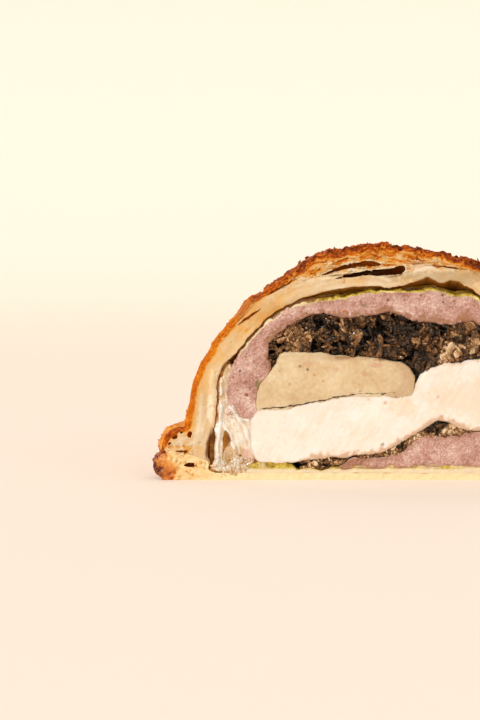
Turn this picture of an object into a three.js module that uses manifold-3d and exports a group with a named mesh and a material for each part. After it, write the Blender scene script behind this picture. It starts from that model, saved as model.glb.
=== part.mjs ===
// Half of a round foie gras pie, cut straight through the middle.
//
// A domed lid of puff pastry is sealed on a pastry base sheet at a thick crimped foot. Inside, cabbage
// leaves wrap a pink farce, dark mushroom duxelles, a slab of foie gras and a chicken breast. Every layer
// that shows on the cut face runs back through the pie and closes in with the dome.
//
// Millimetres, +Z up. The cut face looks towards -Y, and +X is to its right. While the pie is being shaped,
// the cut face is the plane y = 0, with the middle of the whole pie at x = 0, and the table at z = 0.
import * as THREE from 'three';
import { mergeVertices } from 'three/addons/utils/BufferGeometryUtils.js';
import Module from 'manifold-3d';

const wasm = await Module();
wasm.setup();

// ------------------------------------------------------------------------------------------- driving sizes

const FOOT_RADIUS = 72; // middle of the pie to the edge of its foot
const DOME_HEIGHT = 70.4; // table to the top of the lid
const CAVITY_DEPTH = 52.5; // cut face to the back wall of the filled hollow
const BASE_THICKNESS = 2.0; // pastry sheet under the filling
const FIT_GAP = 0.3; // free space between two layers that touch
const FLOOR = BASE_THICKNESS + FIT_GAP; // underside of the filling
const DOME_FULLNESS = 2.35; // how square the dome's shoulders are: 2 is a plain ellipse
const BACK_SWEEP = (76 * Math.PI) / 180; // angle round the dome at which the filling's layers end
const SWEEP_STEPS = 4; // straight stretches in which a layer follows the dome to the back

// --------------------------------------------------------------------------------------------- small tools

// A THREE geometry as a solid. Vertices in one place become one, and triangles that this closes up are
// dropped.
function solidOf(geometry) {
  const bare = geometry.clone();
  bare.deleteAttribute('normal');
  bare.deleteAttribute('uv');
  const merged = mergeVertices(bare, 1e-4);
  const corners = merged.index.array;
  const kept = [];
  for (let i = 0; i < corners.length; i += 3) {
    const [a, b, c] = [corners[i], corners[i + 1], corners[i + 2]];
    if (a !== b && b !== c && c !== a) kept.push(a, b, c);
  }
  return new wasm.Manifold(
    new wasm.Mesh({
      numProp: 3,
      vertProperties: Float32Array.from(merged.attributes.position.array),
      triVerts: Uint32Array.from(kept),
    }),
  );
}

// A solid as a named mesh in its own material.
function meshOf(name, solid, material) {
  const raw = solid.getMesh();
  const geometry = new THREE.BufferGeometry();
  geometry.setAttribute('position', new THREE.BufferAttribute(raw.vertProperties, 3));
  geometry.setIndex(new THREE.BufferAttribute(raw.triVerts, 1));
  geometry.computeVertexNormals();
  const mesh = new THREE.Mesh(geometry, material);
  mesh.name = name;
  return mesh;
}

// Moves every vertex of a geometry to where place(x, y, z, number of the vertex) says.
function reshape(geometry, place) {
  const at = geometry.attributes.position;
  for (let i = 0; i < at.count; i += 1) at.setXYZ(i, ...place(at.getX(i), at.getY(i), at.getZ(i), i));
  return geometry;
}

// Smooth random field over space, from -1 to 1, with the same values at every run.
function roughness(x, y, z, size, seed) {
  const hash = (i, j, k) => {
    const s = Math.sin(i * 127.1 + j * 311.7 + k * 74.7 + seed * 53.3) * 43758.5453;
    return 2 * (s - Math.floor(s)) - 1;
  };
  const cell = [x, y, z].map((v) => Math.floor(v / size));
  const part = [x, y, z].map((v, n) => v / size - cell[n]).map((t) => t * t * (3 - 2 * t));
  let sum = 0;
  for (let corner = 0; corner < 8; corner += 1) {
    const step = [corner & 1, (corner >> 1) & 1, corner >> 2];
    const weight = step.reduce((w, one, n) => w * (one ? part[n] : 1 - part[n]), 1);
    sum += weight * hash(...cell.map((c, n) => c + step[n]));
  }
  return sum;
}

// Points spread evenly along a smooth curve through the given ones.
function smooth(points, count) {
  const curve = new THREE.SplineCurve(points.map(([x, z]) => new THREE.Vector2(x, z)));
  return curve.getSpacedPoints(count - 1);
}

// The same points, run the other way.
const back = (points) => [...points].reverse();

// A closed outline from stretches of curve that meet at corners.
function outline(...stretches) {
  return new THREE.Shape(stretches.flat());
}

// ----------------------------------------------------------------------------------------- running through

// Where a point of the cut face goes, a share of the way round the dome to the back: it moves back, in
// towards the middle and down towards its floor, as the dome itself closes in.
function sweepBack(x, share, z) {
  const turn = THREE.MathUtils.clamp(share, 0, 1) * BACK_SWEEP;
  const narrow = Math.cos(turn);
  const low = (1 - Math.sin(turn) ** DOME_FULLNESS) ** (1 / DOME_FULLNESS);
  return [x * narrow, CAVITY_DEPTH * Math.sin(turn), FLOOR + (z - FLOOR) * low];
}

// A block one unit deep behind the cut face, with a shape of that face as its section.
function blockOf(shape, steps) {
  const block = new THREE.ExtrudeGeometry(shape, { depth: 1, steps, bevelEnabled: false });
  return block.translate(0, 0, -1).rotateX(Math.PI / 2);
}

// A layer of the filling: its outline on the cut face, run back through the pie.
function layer(shape) {
  return solidOf(reshape(blockOf(shape, SWEEP_STEPS), sweepBack));
}

// A straight block of the given outline, from in front of the cut face to a depth behind it.
function pocket(shape, depth, front = 1) {
  return solidOf(reshape(blockOf(shape, 1), (x, share, z) => [x, share * (depth + front) - front, z]));
}

// A lens-shaped slit between two flaky layers, along the line from one point to another.
function slit(from, to, width, depth) {
  const along = new THREE.Vector2(to[0] - from[0], to[1] - from[1]);
  const across = new THREE.Vector2(-along.y, along.x).normalize();
  const edge = (side) =>
    [0.25, 0.5, 0.75].map((t) => {
      const half = (side * width * Math.sin(Math.PI * t)) / 2;
      return [from[0] + along.x * t + across.x * half, from[1] + along.y * t + across.y * half];
    });
  return pocket(outline(smooth([from, ...edge(-1), to, ...edge(1).reverse(), from], 17).slice(0, -1)), depth);
}

// ------------------------------------------------------------------------------------------- turned pastry

// The half behind the cut face of a pastry piece turned about the pie's upright axis. Its profile changes
// from the one on the left of the cut face to the one on its right. Profiles run from the axis's foot to
// its top, as points of distance from the middle and height. The roughness moves the surface out, and up
// where it isn't the flat underside.
function turned(left, right, turns, rough) {
  const lathe = new THREE.LatheGeometry(left, turns);
  const uv = lathe.attributes.uv;
  reshape(lathe, (_x, _y, _z, i) => {
    const angle = 2 * Math.PI * (uv.getX(i) % 1);
    const stop = Math.round(uv.getY(i) * (left.length - 1));
    const { x: r, y: z } = left[stop].clone().lerp(right[stop], (1 + Math.cos(angle)) / 2);
    const out = r > 0 ? rough(r * Math.cos(angle), r * Math.sin(angle), z, angle) : 0;
    return [(r + out) * Math.cos(angle), (r + out) * Math.sin(angle), z + 0.6 * Math.min(z, 1) * out];
  });
  const behind = new THREE.BoxGeometry(3 * FOOT_RADIUS, 2 * FOOT_RADIUS, 3 * DOME_HEIGHT);
  return solidOf(lathe).intersect(solidOf(behind.translate(0, FOOT_RADIUS, 0)));
}

// ------------------------------------------------------------------------------------------ the pastry lid

// Outside of the lid on both sides of the cut face, from its top to where the foot begins, then round the
// foot's bead.
const LID_LEFT = {
  dome: [
    [0, DOME_HEIGHT], [6, 70.2], [15, 69.3], [23.1, 66.4], [30, 62.7], [38.4, 57.1], [46.5, 50.7],
    [51.3, 44.4], [55.8, 37.2], [58.9, 31], [60, 24], [61.8, 16.4],
  ],
  bead: [[61.8, 16.4], [64.4, 15.6], [67.3, 14.4], [69.2, 11.6], [68.7, 8.3]],
  under: [[68.7, 8.3], [65, 7.6], [60, 7.1], [54.6, 6]],
};
const LID_RIGHT = {
  dome: [
    [0, DOME_HEIGHT], [6, 70.1], [12, 68.8], [18, 67.4], [27, 64.9], [36.5, 59.7], [45, 52.8], [51.2, 47],
    [56.6, 40.8], [60.8, 34.4], [62.4, 28], [63.4, 23.8],
  ],
  bead: [[63.4, 23.8], [66.6, 23.1], [70.4, 21.9], [72.2, 18.2], [70, 14.6]],
  under: [[70, 14.6], [66.5, 13.6], [63, 12.7], [60.6, 12]],
};

// The inner face of the lid's dough, from the foot on the left, over the filling, to the foot on the right.
const HOLLOW_LEFT = [
  [-54.9, 6.3], [-54.3, 12], [-53, 17], [-52.2, 24], [-52.2, 28.5], [-50.6, 34.2], [-47.4, 37.5],
  [-44.4, 41.3], [-40.2, 45.7], [-36.9, 49], [-33.9, 51.4], [-30, 53.4], [-26.4, 55.3], [-19.5, 57.1],
  [-12, 58.3], [-5, 58.3], [2, 58.5], [6.5, 59.5],
];
const HOLLOW_RIGHT = [
  [11.7, 61.3], [14.4, 59.9], [16.6, 59.6], [19.4, 60.6], [22.6, 58.8], [26, 56.8], [30.3, 53.1],
  [34.4, 50.8], [38.8, 48.7], [40.9, 45.6], [45.2, 41.3], [50.4, 38.4], [52.8, 34.6], [54.2, 29.8],
  [56.4, 25.4], [58.4, 20.8], [60, 16.4], [60.2, 12.4],
];

const PROFILE_STOPS = { dome: 24, bead: 8, under: 3 };
const LID_TURNS = 92;

function lidProfile(side) {
  const dome = smooth(side.dome, PROFILE_STOPS.dome);
  const bead = smooth(side.bead, PROFILE_STOPS.bead).slice(1);
  const under = smooth(side.under, PROFILE_STOPS.under).slice(1);
  const middle = new THREE.Vector2(0, side.under.at(-1)[1]);
  dome[0].x = 0;
  return back([...dome, ...bead, ...under, middle]);
}

// Crags and lifted flakes on the baked skin, and the pinches that seal the foot.
function lidRoughness(x, y, z, angle) {
  const crown = THREE.MathUtils.smoothstep(z, 30, 60);
  const flakes = roughness(x, y, 1.6 * z, 3.2, 7) * (0.25 + 0.4 * crown);
  const blisters = roughness(x, y, z, 9, 3) * 0.5;
  const pinches = z < 23 ? 0.7 * Math.sin(19 * angle + roughness(x, y, 0, 20, 5)) * (1 - z / 24) : 0;
  return z < 6 ? 0 : flakes + blisters + pinches;
}

// Hollows between the flaky layers of the lid, all open at the cut face.
const UPPER_POCKET = [
  smooth([[-21.3, 61.4], [-15.6, 64.3], [-11.4, 65.4], [-6, 66.1], [-2.6, 65.2]], 9),
  smooth([[-2.8, 64.7], [-6, 64.3], [-10.5, 64], [-15, 63.2], [-18, 62.2]], 7),
];
const LOWER_POCKET = [
  smooth([[-17.4, 60.5], [-12, 62.3], [-6, 63.3], [1.5, 63.8]], 8),
  smooth([[3, 65], [4.5, 65], [4.6, 62.7], [3, 61.9], [-1.5, 61.6], [-7.5, 61.6], [-12, 61.1]], 10),
];
const FOOT_POCKET = [smooth([[-65.1, 8.7], [-62.6, 9.1], [-60.6, 8.2], [-62.6, 6.4], [-65.1, 6.4]], 10)];
const POCKET_DEPTH = { upper: 12, lower: 16, foot: 7, slit: 5 };
const SLITS = [
  [[-46, 46.6], [-38.4, 52.1], 0.8],
  [[-37, 55.6], [-28, 60.9], 0.6],
  [[12.5, 64.8], [24, 63.3], 0.6],
  [[28.4, 58.3], [37.2, 53.4], 0.9],
  [[42.4, 49.8], [47, 44.4], 0.8],
];

function makeLid() {
  let lid = turned(lidProfile(LID_LEFT), lidProfile(LID_RIGHT), LID_TURNS, lidRoughness);
  const over = [...smooth(HOLLOW_LEFT, 34), ...smooth(HOLLOW_RIGHT, 32)];
  const below = -4;
  lid = lid.subtract(hollowBlock(outline(over, smooth([[60.4, below], [-54.9, below]], 2))));
  const upper = pocket(outline(...UPPER_POCKET), POCKET_DEPTH.upper);
  const lower = pocket(outline(...LOWER_POCKET), POCKET_DEPTH.lower);
  const foot = pocket(outline(...FOOT_POCKET), POCKET_DEPTH.foot);
  lid = lid.subtract(upper).subtract(lower).subtract(foot);
  for (const [from, to, width] of SLITS) lid = lid.subtract(slit(from, to, width, POCKET_DEPTH.slit));
  return lid;
}

// The filled hollow as a cutting block: it starts in front of the cut face and ends just behind the
// filling.
function hollowBlock(shape) {
  const swept = reshape(blockOf(shape, SWEEP_STEPS), (x, share, z) => {
    const [sx, sy, sz] = sweepBack(x, share, z);
    const beyond = share < 0.001 ? -1 : share > 0.999 ? 2 * FIT_GAP : 0;
    return [sx, sy + beyond, sz];
  });
  return solidOf(swept);
}

// ----------------------------------------------------------------------------------------- the pastry base

const BASE_LEFT = {
  floor: [[0, BASE_THICKNESS], [26, BASE_THICKNESS], [52, BASE_THICKNESS]],
  rim: [
    [52.6, BASE_THICKNESS], [54.6, 3], [55.8, 5.2], [60, 6.4], [65, 7], [69.4, 7.4], [71.6, 6.4],
    [71.9, 4.4], [70.4, 1.8], [67.6, 0],
  ],
};
const BASE_RIGHT = {
  floor: [[0, BASE_THICKNESS], [28, BASE_THICKNESS], [57, BASE_THICKNESS]],
  rim: [
    [57.6, BASE_THICKNESS], [59.6, 4.4], [60.8, 8], [62.4, 11.4], [66.4, 12.6], [70, 12.9], [71.9, 10.6],
    [72.3, 6.4], [70.6, 2.4], [67, 0],
  ],
};
const BASE_TURNS = 84;
const BASE_POCKET = [smooth([[-62.2, 4.3], [-60.6, 5.3], [-58.2, 4.9], [-58.6, 4.1], [-60.6, 3.9]], 9)];

function baseProfile(side) {
  const floor = smooth(side.floor, 4).slice(0, -1);
  const rim = smooth(side.rim, 16);
  floor[0].x = 0;
  rim.at(-1).y = 0;
  return back([...floor, ...rim, new THREE.Vector2(0, 0)]);
}

// Torn, uneven edge of the sheet. Its underside stays flat.
function baseRoughness(x, y, z, angle) {
  const outside = Math.hypot(x, y) > 67.8 && z > 1;
  return outside ? 0.5 * roughness(x, y, z, 5, 11) + 0.5 * Math.sin(19 * angle + 1.2) - 0.5 : 0;
}

function makeBase() {
  const sheet = turned(baseProfile(BASE_LEFT), baseProfile(BASE_RIGHT), BASE_TURNS, baseRoughness);
  return sheet.subtract(pocket(outline(...BASE_POCKET), POCKET_DEPTH.foot));
}

// --------------------------------------------------------------------------------------------- the filling

// Edges that two layers share, from left to right or from top to bottom. Each layer keeps half of FIT_GAP
// off them.
const LEAF_TOP = [
  [-45.4, 38.9], [-42.6, 42.3], [-39.6, 45.1], [-36, 48.6], [-32, 51.4], [-28.5, 53.3], [-26, 54.4],
  [-22, 54.7], [-18.6, 55.8], [-15, 55.3], [-9, 56.7], [-4, 57], [0, 57.5], [2.2, 56.8], [4.6, 57.8],
  [9, 57.7], [12.6, 58.4], [15, 57.4], [18, 56.5], [22.5, 56.6], [25.5, 55.9], [29.6, 52.1], [33.5, 50],
  [38, 47.5], [40.3, 45], [44, 41], [47.6, 38.8], [50.3, 37], [51.8, 34.7],
];
const FARCE_TOP = [
  [-45, 37.4], [-42, 41.2], [-39, 44.4], [-35.4, 48], [-31.4, 50.6], [-28, 52.1], [-25, 52.7], [-20, 53.5],
  [-15, 54.2], [-9, 55.4], [-4, 55.9], [0, 56.2], [4.5, 56], [9, 56.2], [12.6, 57], [15, 56.2], [18, 55],
  [22.5, 55.1], [25, 54.5], [29, 51], [33, 48.7], [37.6, 46], [42, 41.6], [46.2, 38], [48.8, 35.9],
  [50, 33.6],
];
const FARCE_LEFT_SIDE = [[-46.2, 35], [-47.4, 32.6], [-48.1, 29.4], [-48.3, 26], [-48.1, 23.2]];
const FARCE_LEFT_FOOT = [[-46, 21.2], [-44.1, 18.9], [-41.4, 18.7]];
const FARCE_LEFT_INSIDE = [[-40.3, 20.9], [-40.6, 25.6], [-39.4, 29.2], [-37.6, 31.6], [-36.3, 33.1]];
const MUSHROOM_LEFT = [[-36.9, 35.7], [-37.3, 39.4], [-36.6, 42.3]];
const MUSHROOM_TOP = [
  [-34.6, 44.4], [-31.6, 46.8], [-27, 49.3], [-22.5, 50.8], [-18.6, 50.6], [-15, 49.9], [-12, 49.4],
  [-4.5, 50.5], [0, 51.4], [3, 50.2], [7.5, 49], [14, 48.1], [18.6, 47.8], [23, 48.3], [26.6, 47.8],
];
const MUSHROOM_RIGHT = [[29.3, 44], [30.5, 39.2]];
const LIVER_TOP = [
  [-35, 32.9], [-33.2, 36.3], [-31.6, 38], [-25, 37.9], [-18, 37.5], [-9, 36.8], [-1.5, 36], [3, 35],
  [5.7, 33.6], [7, 31.4], [7.1, 28.6],
];
const LIVER_UNDER = [
  [-39.5, 20.9], [-34.5, 21.4], [-27, 22.5], [-19.5, 24], [-12, 25.2], [-3, 25.5], [1.5, 24.9], [5.2, 25],
];
const LIVER_LEFT = [[-39.8, 24], [-38.9, 27.6], [-37, 31]];
const BREAST_TOP = [
  [8.4, 28.8], [9.4, 31.4], [11.4, 32.8], [15, 33.8], [21, 35], [26.3, 36.2], [30, 36.7], [37, 36.3],
  [45.8, 34],
];
const BREAST_RIGHT = [[49.4, 30.6], [51.2, 25.7], [51.8, 20.8], [49.9, 16.8], [46.4, 15.2]];
const BREAST_LEFT = [[-41.2, 18.6], [-41.7, 12.3], [-41.1, 8.2], [-38.6, 5.9]];
const BREAST_UNDER = [
  [-33, 5.5], [-28, 5.7], [-21, 7.1], [-12, 7.5], [-3, 8.4], [1.5, 10.8], [6, 13.4], [10.5, 16.2],
  [14, 18.4], [17, 18.2], [20, 16.4], [23, 15.3], [27, 15.4], [33, 13.9], [40.7, 14.4],
];
const LOWER_MUSHROOM_UNDER = [
  [-28.6, 2.9], [-23, 2.9], [-18.4, 3], [-16.2, 5.4], [-12, 5.8], [-3, 6.3], [3, 7.5], [6.7, 9.9],
  [10.6, 12.8], [15, 12.5], [19, 12.8], [22.5, 13.2], [27, 13.9], [33, 12.7],
];
const LOWER_FARCE_UNDER = [[-15, 3.5], [-6, 3.9], [3, 4], [12, 4.5], [30, 4.6], [42, 5.2]];
const LOWER_LEAF_TOP = [
  [-42.4, 4.6], [-38, 5.3], [-33, 5], [-30.2, 4.6], [-29, 2.9], [-18.4, 2.9], [-15, 3.4],
];

// The same curve moved sideways by half the free gap: to the left of its run for 1, to the right for -1.
function beside(points, side) {
  return points.map(([x, z], n) => {
    const [before, after] = [points[Math.max(n - 1, 0)], points[Math.min(n + 1, points.length - 1)]];
    const [dx, dz] = [after[0] - before[0], after[1] - before[1]];
    const off = (side * FIT_GAP) / 2 / Math.hypot(dx, dz);
    return [x - dz * off, z + dx * off];
  });
}

const MUSHROOM_OVER = [...MUSHROOM_LEFT, ...MUSHROOM_TOP, ...MUSHROOM_RIGHT];

function leafTopShape() {
  return outline(smooth(LEAF_TOP, 44), smooth(back(beside(FARCE_TOP, 1)), 38));
}

function farceTopShape() {
  return outline(
    smooth(beside(FARCE_TOP, -1), 34),
    smooth([[48.6, 33.6], [46.2, 34.6], [40, 36.8], [31, 37.4]], 5),
    smooth(back(beside(MUSHROOM_OVER, 1)), 30),
    smooth(back(beside(FARCE_LEFT_INSIDE, 1)), 7),
    smooth(back(FARCE_LEFT_FOOT), 4),
    smooth(FARCE_LEFT_SIDE, 7).reverse(),
  );
}

function mushroomTopShape() {
  return outline(
    smooth(beside(MUSHROOM_OVER, -1), 30),
    smooth(back(beside(BREAST_TOP.slice(0, 7), 1)), 12),
    smooth([[7.9, 27.2], [7.3, 27.4]], 2),
    smooth(back(beside(LIVER_TOP, 1)), 20),
  );
}

function liverShape() {
  return outline(
    smooth(beside(LIVER_TOP, -1), 20),
    smooth([[6.9, 26.6], [6.2, 25.5]], 2),
    smooth(back(beside(LIVER_UNDER, 1)), 16),
    smooth(LIVER_LEFT, 4),
  );
}

function breastShape() {
  return outline(
    smooth(beside(BREAST_TOP, -1), 14),
    smooth(BREAST_RIGHT, 8),
    smooth(back(beside(BREAST_UNDER, 1)), 24),
    smooth(back(BREAST_LEFT), 7),
    smooth(beside(LIVER_UNDER, -1), 16),
    smooth([[7.4, 25.6], [8.1, 27]], 2),
  );
}

function mushroomBaseShape() {
  return outline(
    smooth(beside(BREAST_UNDER.slice(1, -1), -1), 22),
    smooth(back(beside(LOWER_MUSHROOM_UNDER, 1)), 22),
  );
}

function farceBaseShape() {
  return outline(
    smooth(beside([...LOWER_MUSHROOM_UNDER.slice(4), [40.7, 13.4], [44.6, 13.9]], -1), 18),
    smooth([[45.8, 11], [45.2, 7.4]], 3),
    smooth(back(beside(LOWER_FARCE_UNDER, 1)), 10),
  );
}

function leafBaseShape() {
  return outline(
    smooth(beside([...LOWER_LEAF_TOP, ...LOWER_FARCE_UNDER.slice(1), [46, 6]], -1), 24),
    smooth([[47.6, FLOOR + 1], [44, FLOOR]], 3),
    smooth([[40, FLOOR], [-43, FLOOR]], 10),
  );
}

// The pale, thick ribs of the cabbage at the sides of the filling.
function leafRibLeftShape() {
  const outside = [[-53.3, 3.4], [-53.3, 9], [-53, 13], [-51.9, 18.6], [-51.4, 24], [-51.4, 28.4]];
  const inside = [[-47.9, 32.4], [-48.7, 28], [-48.9, 23.4], [-50.4, 19.6], [-50.8, 14], [-50.7, 3.2]];
  return outline(smooth([...outside, [-50.2, 32.6], [-48.3, 34.2]], 16), smooth(inside, 14));
}

function leafFoldLeftShape() {
  return outline(
    smooth([[-50, 19.8], [-48.5, 22.4], [-46.3, 20.7], [-44.5, 18.5], [-42, 18.3]], 8),
    smooth([[-42.2, 12.3], [-41.6, 8.2], [-41.4, 5.9], [-43, 5]], 6),
    smooth([[-43.2, 2.6], [-50.3, 2.6]], 3),
    smooth([[-49.6, 6], [-49.1, 8.4], [-47.9, 11.4], [-48.7, 12.9], [-50.3, 14.3]], 8),
  );
}

function leafRibRightShape() {
  const outside = [[52.5, 33.8], [53.5, 29.8], [55.7, 25.2], [57.7, 20.6], [59.3, 16.4], [59.6, 12.6]];
  const inside = [[46.4, 6.6], [46.2, 11], [46.4, 14.6], [50.4, 16.6], [52.2, 20.8], [51.6, 25.7]];
  return outline(
    smooth([...outside, [59.2, 8], [57, 3.4]], 16),
    smooth([[49.5, 2.5], ...inside, [50.2, 30.8], [51.2, 33]], 18),
  );
}

// ------------------------------------------------------------------------------------------ chopped pieces

const LUMP_SPACING = 4.6; // middle to middle of the chopped mushroom that stands out of the cut
const LUMP_RADIUS = 1.9;

// A layer with rough lumps of chopped mushroom fused to its cut face. They keep inside the layer's own
// outline.
function chopped(shape, places) {
  const pieces = places.map(([x, z], n) => {
    const lump = new THREE.IcosahedronGeometry(LUMP_RADIUS * (1 + 0.3 * roughness(n, 5, 0, 1, 4)), 0);
    lump.scale(1 + 0.5 * roughness(n, 0, 0, 1, 1), 0.8, 0.75 + 0.2 * roughness(0, n, 0, 1, 2));
    lump.rotateZ(2 * n).rotateY(0.8 * n).translate(x, 0.2, z);
    return solidOf(lump);
  });
  const standing = pieces.reduce((all, piece) => all.add(piece)).intersect(pocket(shape, 1.5, 3));
  return layer(shape).add(standing);
}

// Places on a grid over part of the cut face, each a little off it, that keep their distance from the
// outline.
function scattered([left, right, bottom, top], shape) {
  const border = shape.getPoints();
  const places = [];
  for (let x = left; x < right; x += LUMP_SPACING)
    for (let z = bottom; z < top; z += 0.8 * LUMP_SPACING) {
      const place = new THREE.Vector2(x + roughness(x, z, 0, 1, 21), z + 0.8 * roughness(z, x, 3, 1, 22));
      const clear = Math.min(...border.map((p) => p.distanceTo(place)));
      if (clear > 1.3 && within(place, border)) places.push([place.x, place.y]);
    }
  return places;
}

// Whether a point lies inside a closed outline.
function within(point, border) {
  let inside = false;
  border.forEach((a, n) => {
    const b = border[(n + 1) % border.length];
    const spans = a.y > point.y !== b.y > point.y;
    if (spans && point.x < a.x + ((point.y - a.y) / (b.y - a.y)) * (b.x - a.x)) inside = !inside;
  });
  return inside;
}

const UPPER_FACE = [-36, 30, 35, 51];
const LOWER_PLACES = [[-27.4, 4.4], [-25.2, 4.6], [-22, 4.8], [12.8, 15.2], [15.4, 15.6], [17.8, 15]];

// ----------------------------------------------------------------------------------------- the whole piece

const food = (color, roughness) => new THREE.MeshStandardMaterial({ color, roughness, metalness: 0 });
const BAKED = food(0xc07a35, 0.6);
const DOUGH = food(0xd9bd8c, 0.6);
const LEAF = food(0xb5ac4a, 0.45);
const RIB = food(0xddd6bb, 0.35);
const FARCE = food(0xd9a79f, 0.55);
const DUXELLES = food(0x4a382a, 0.5);
const LIVER = food(0xe2cba0, 0.45);
const BREAST = food(0xf6e3cb, 0.5);

const pie = new THREE.Group();
pie.add(
  meshOf('crust_lid', makeLid(), BAKED),
  meshOf('crust_base', makeBase(), DOUGH),
  meshOf('cabbage_top', layer(leafTopShape()), LEAF),
  meshOf('cabbage_base', layer(leafBaseShape()), LEAF),
  meshOf('cabbage_rib_left', layer(leafRibLeftShape()), RIB),
  meshOf('cabbage_fold_left', layer(leafFoldLeftShape()), RIB),
  meshOf('cabbage_rib_right', layer(leafRibRightShape()), RIB),
  meshOf('farce_top', layer(farceTopShape()), FARCE),
  meshOf('farce_base', layer(farceBaseShape()), FARCE),
  meshOf('duxelles_top', chopped(mushroomTopShape(), scattered(UPPER_FACE, mushroomTopShape())), DUXELLES),
  meshOf('duxelles_base', chopped(mushroomBaseShape(), LOWER_PLACES), DUXELLES),
  meshOf('foie_gras', layer(liverShape()), LIVER),
  meshOf('chicken_breast', layer(breastShape()), BREAST),
);

// The origin is the middle of the bottom of the piece's own box, so the cut face stands half its depth in
// front.
const size = new THREE.Box3().setFromObject(pie);
pie.position.set(-(size.min.x + size.max.x) / 2, -(size.min.y + size.max.y) / 2, 0);

export default pie;
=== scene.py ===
import math

import bmesh
import bpy
import numpy as np
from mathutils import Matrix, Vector
from mathutils.geometry import delaunay_2d_cdt
from mathutils.kdtree import KDTree


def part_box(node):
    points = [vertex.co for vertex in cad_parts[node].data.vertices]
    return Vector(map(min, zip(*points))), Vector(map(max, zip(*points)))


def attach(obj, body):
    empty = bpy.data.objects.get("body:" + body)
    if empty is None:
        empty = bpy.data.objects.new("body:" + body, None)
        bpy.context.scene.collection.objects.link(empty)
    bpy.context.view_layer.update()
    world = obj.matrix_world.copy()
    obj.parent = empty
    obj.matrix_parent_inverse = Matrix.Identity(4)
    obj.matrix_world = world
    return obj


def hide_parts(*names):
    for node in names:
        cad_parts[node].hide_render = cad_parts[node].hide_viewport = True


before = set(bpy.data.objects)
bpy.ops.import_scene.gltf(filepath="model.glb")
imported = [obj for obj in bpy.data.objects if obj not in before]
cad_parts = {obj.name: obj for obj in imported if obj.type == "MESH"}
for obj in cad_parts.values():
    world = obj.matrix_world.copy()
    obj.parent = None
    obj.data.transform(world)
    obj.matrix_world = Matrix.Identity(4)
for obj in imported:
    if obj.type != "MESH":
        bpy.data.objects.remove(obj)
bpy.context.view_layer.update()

# ---------------------------------------- the table, the light and the camera
# A plain pale sheet runs from under the pie up behind it. Soft light comes from the left and from all
# round, and the camera looks straight at the cut face from a little above the pie, through a long lens.

MM = 0.001
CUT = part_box("foie_gras")[0].y  # the plane of the cut face, which looks towards -Y
RIB_REACH = 53.32  # how far to the left of the pie's middle the left rib reaches
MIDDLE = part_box("cabbage_rib_left")[0].x + RIB_REACH * MM  # the middle of the whole pie

FRAME_SIZE = (480, 720)  # the photograph, in pixels
MM_PER_PIXEL = 0.30  # on the cut face
MIDDLE_COLUMN = 390  # pixel column of the middle of the pie
TABLE_ROW = 481  # pixel row of the table under the cut face
EYE_ROW = 218  # pixel row at the height of the camera
CAMERA_DISTANCE = 640
LONG_SIDE_OF_FILM = 36

eye_height = (TABLE_ROW - EYE_ROW) * MM_PER_PIXEL
aim_height = (TABLE_ROW - FRAME_SIZE[1] / 2) * MM_PER_PIXEL
camera = bpy.data.objects.new("camera", bpy.data.cameras.new("camera"))
camera.data.sensor_fit = "AUTO"
camera.data.sensor_width = LONG_SIDE_OF_FILM
camera.data.lens = LONG_SIDE_OF_FILM * CAMERA_DISTANCE / MM_PER_PIXEL / FRAME_SIZE[1]
camera.data.clip_start = 0.01
camera.location = (
    MIDDLE + (FRAME_SIZE[0] / 2 - MIDDLE_COLUMN) * MM_PER_PIXEL * MM,
    CUT - CAMERA_DISTANCE * MM,
    eye_height * MM,
)
tilt_down = math.atan((eye_height - aim_height) / CAMERA_DISTANCE)
camera.rotation_euler = (math.pi / 2 - tilt_down, 0, 0)
bpy.context.collection.objects.link(camera)
bpy.context.scene.camera = camera
bpy.context.scene.view_settings.view_transform = "Standard"


def rgb(red, green, blue):
    """A colour given in the photograph's 0 to 255 numbers, as linear light."""
    shares = [c / 255 for c in (red, green, blue)]
    return tuple(s / 12.92 if s < 0.0404 else ((s + 0.055) / 1.055) ** 2.4 for s in shares)


def soft_light(name, towards, strength, colour, softness):
    """A lamp as far off as the sun, with the direction that its light runs and its softness in degrees."""
    lamp = bpy.data.objects.new(name, bpy.data.lights.new(name, "SUN"))
    lamp.data.energy = strength
    lamp.data.color = colour
    lamp.data.angle = math.radians(softness)
    lamp.rotation_euler = Vector(towards).to_track_quat("-Z", "Y").to_euler()
    bpy.context.collection.objects.link(lamp)


soft_light("key_light", (0.62, 0.66, -0.80), 2.05, (1.0, 0.985, 0.96), 6)
soft_light("back_light", (0.45, -0.75, -0.70), 0.6, (1.0, 0.985, 0.96), 30)
soft_light("fill_light", (-0.70, 0.80, -0.30), 0.3, (1.0, 0.975, 0.94), 50)

world = bpy.data.worlds.new("room")
world.use_nodes = True
world.node_tree.nodes["Background"].inputs["Color"].default_value = (1.0, 0.985, 0.96, 1)
world.node_tree.nodes["Background"].inputs["Strength"].default_value = 0.5
bpy.context.scene.world = world

SHEET_WIDTH = 4200
SHEET_FRONT = -1500
SHEET_BACK = 1100
SHEET_RISE = 1900
SHEET_BEND = 500  # radius of the bend between table and wall


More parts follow.
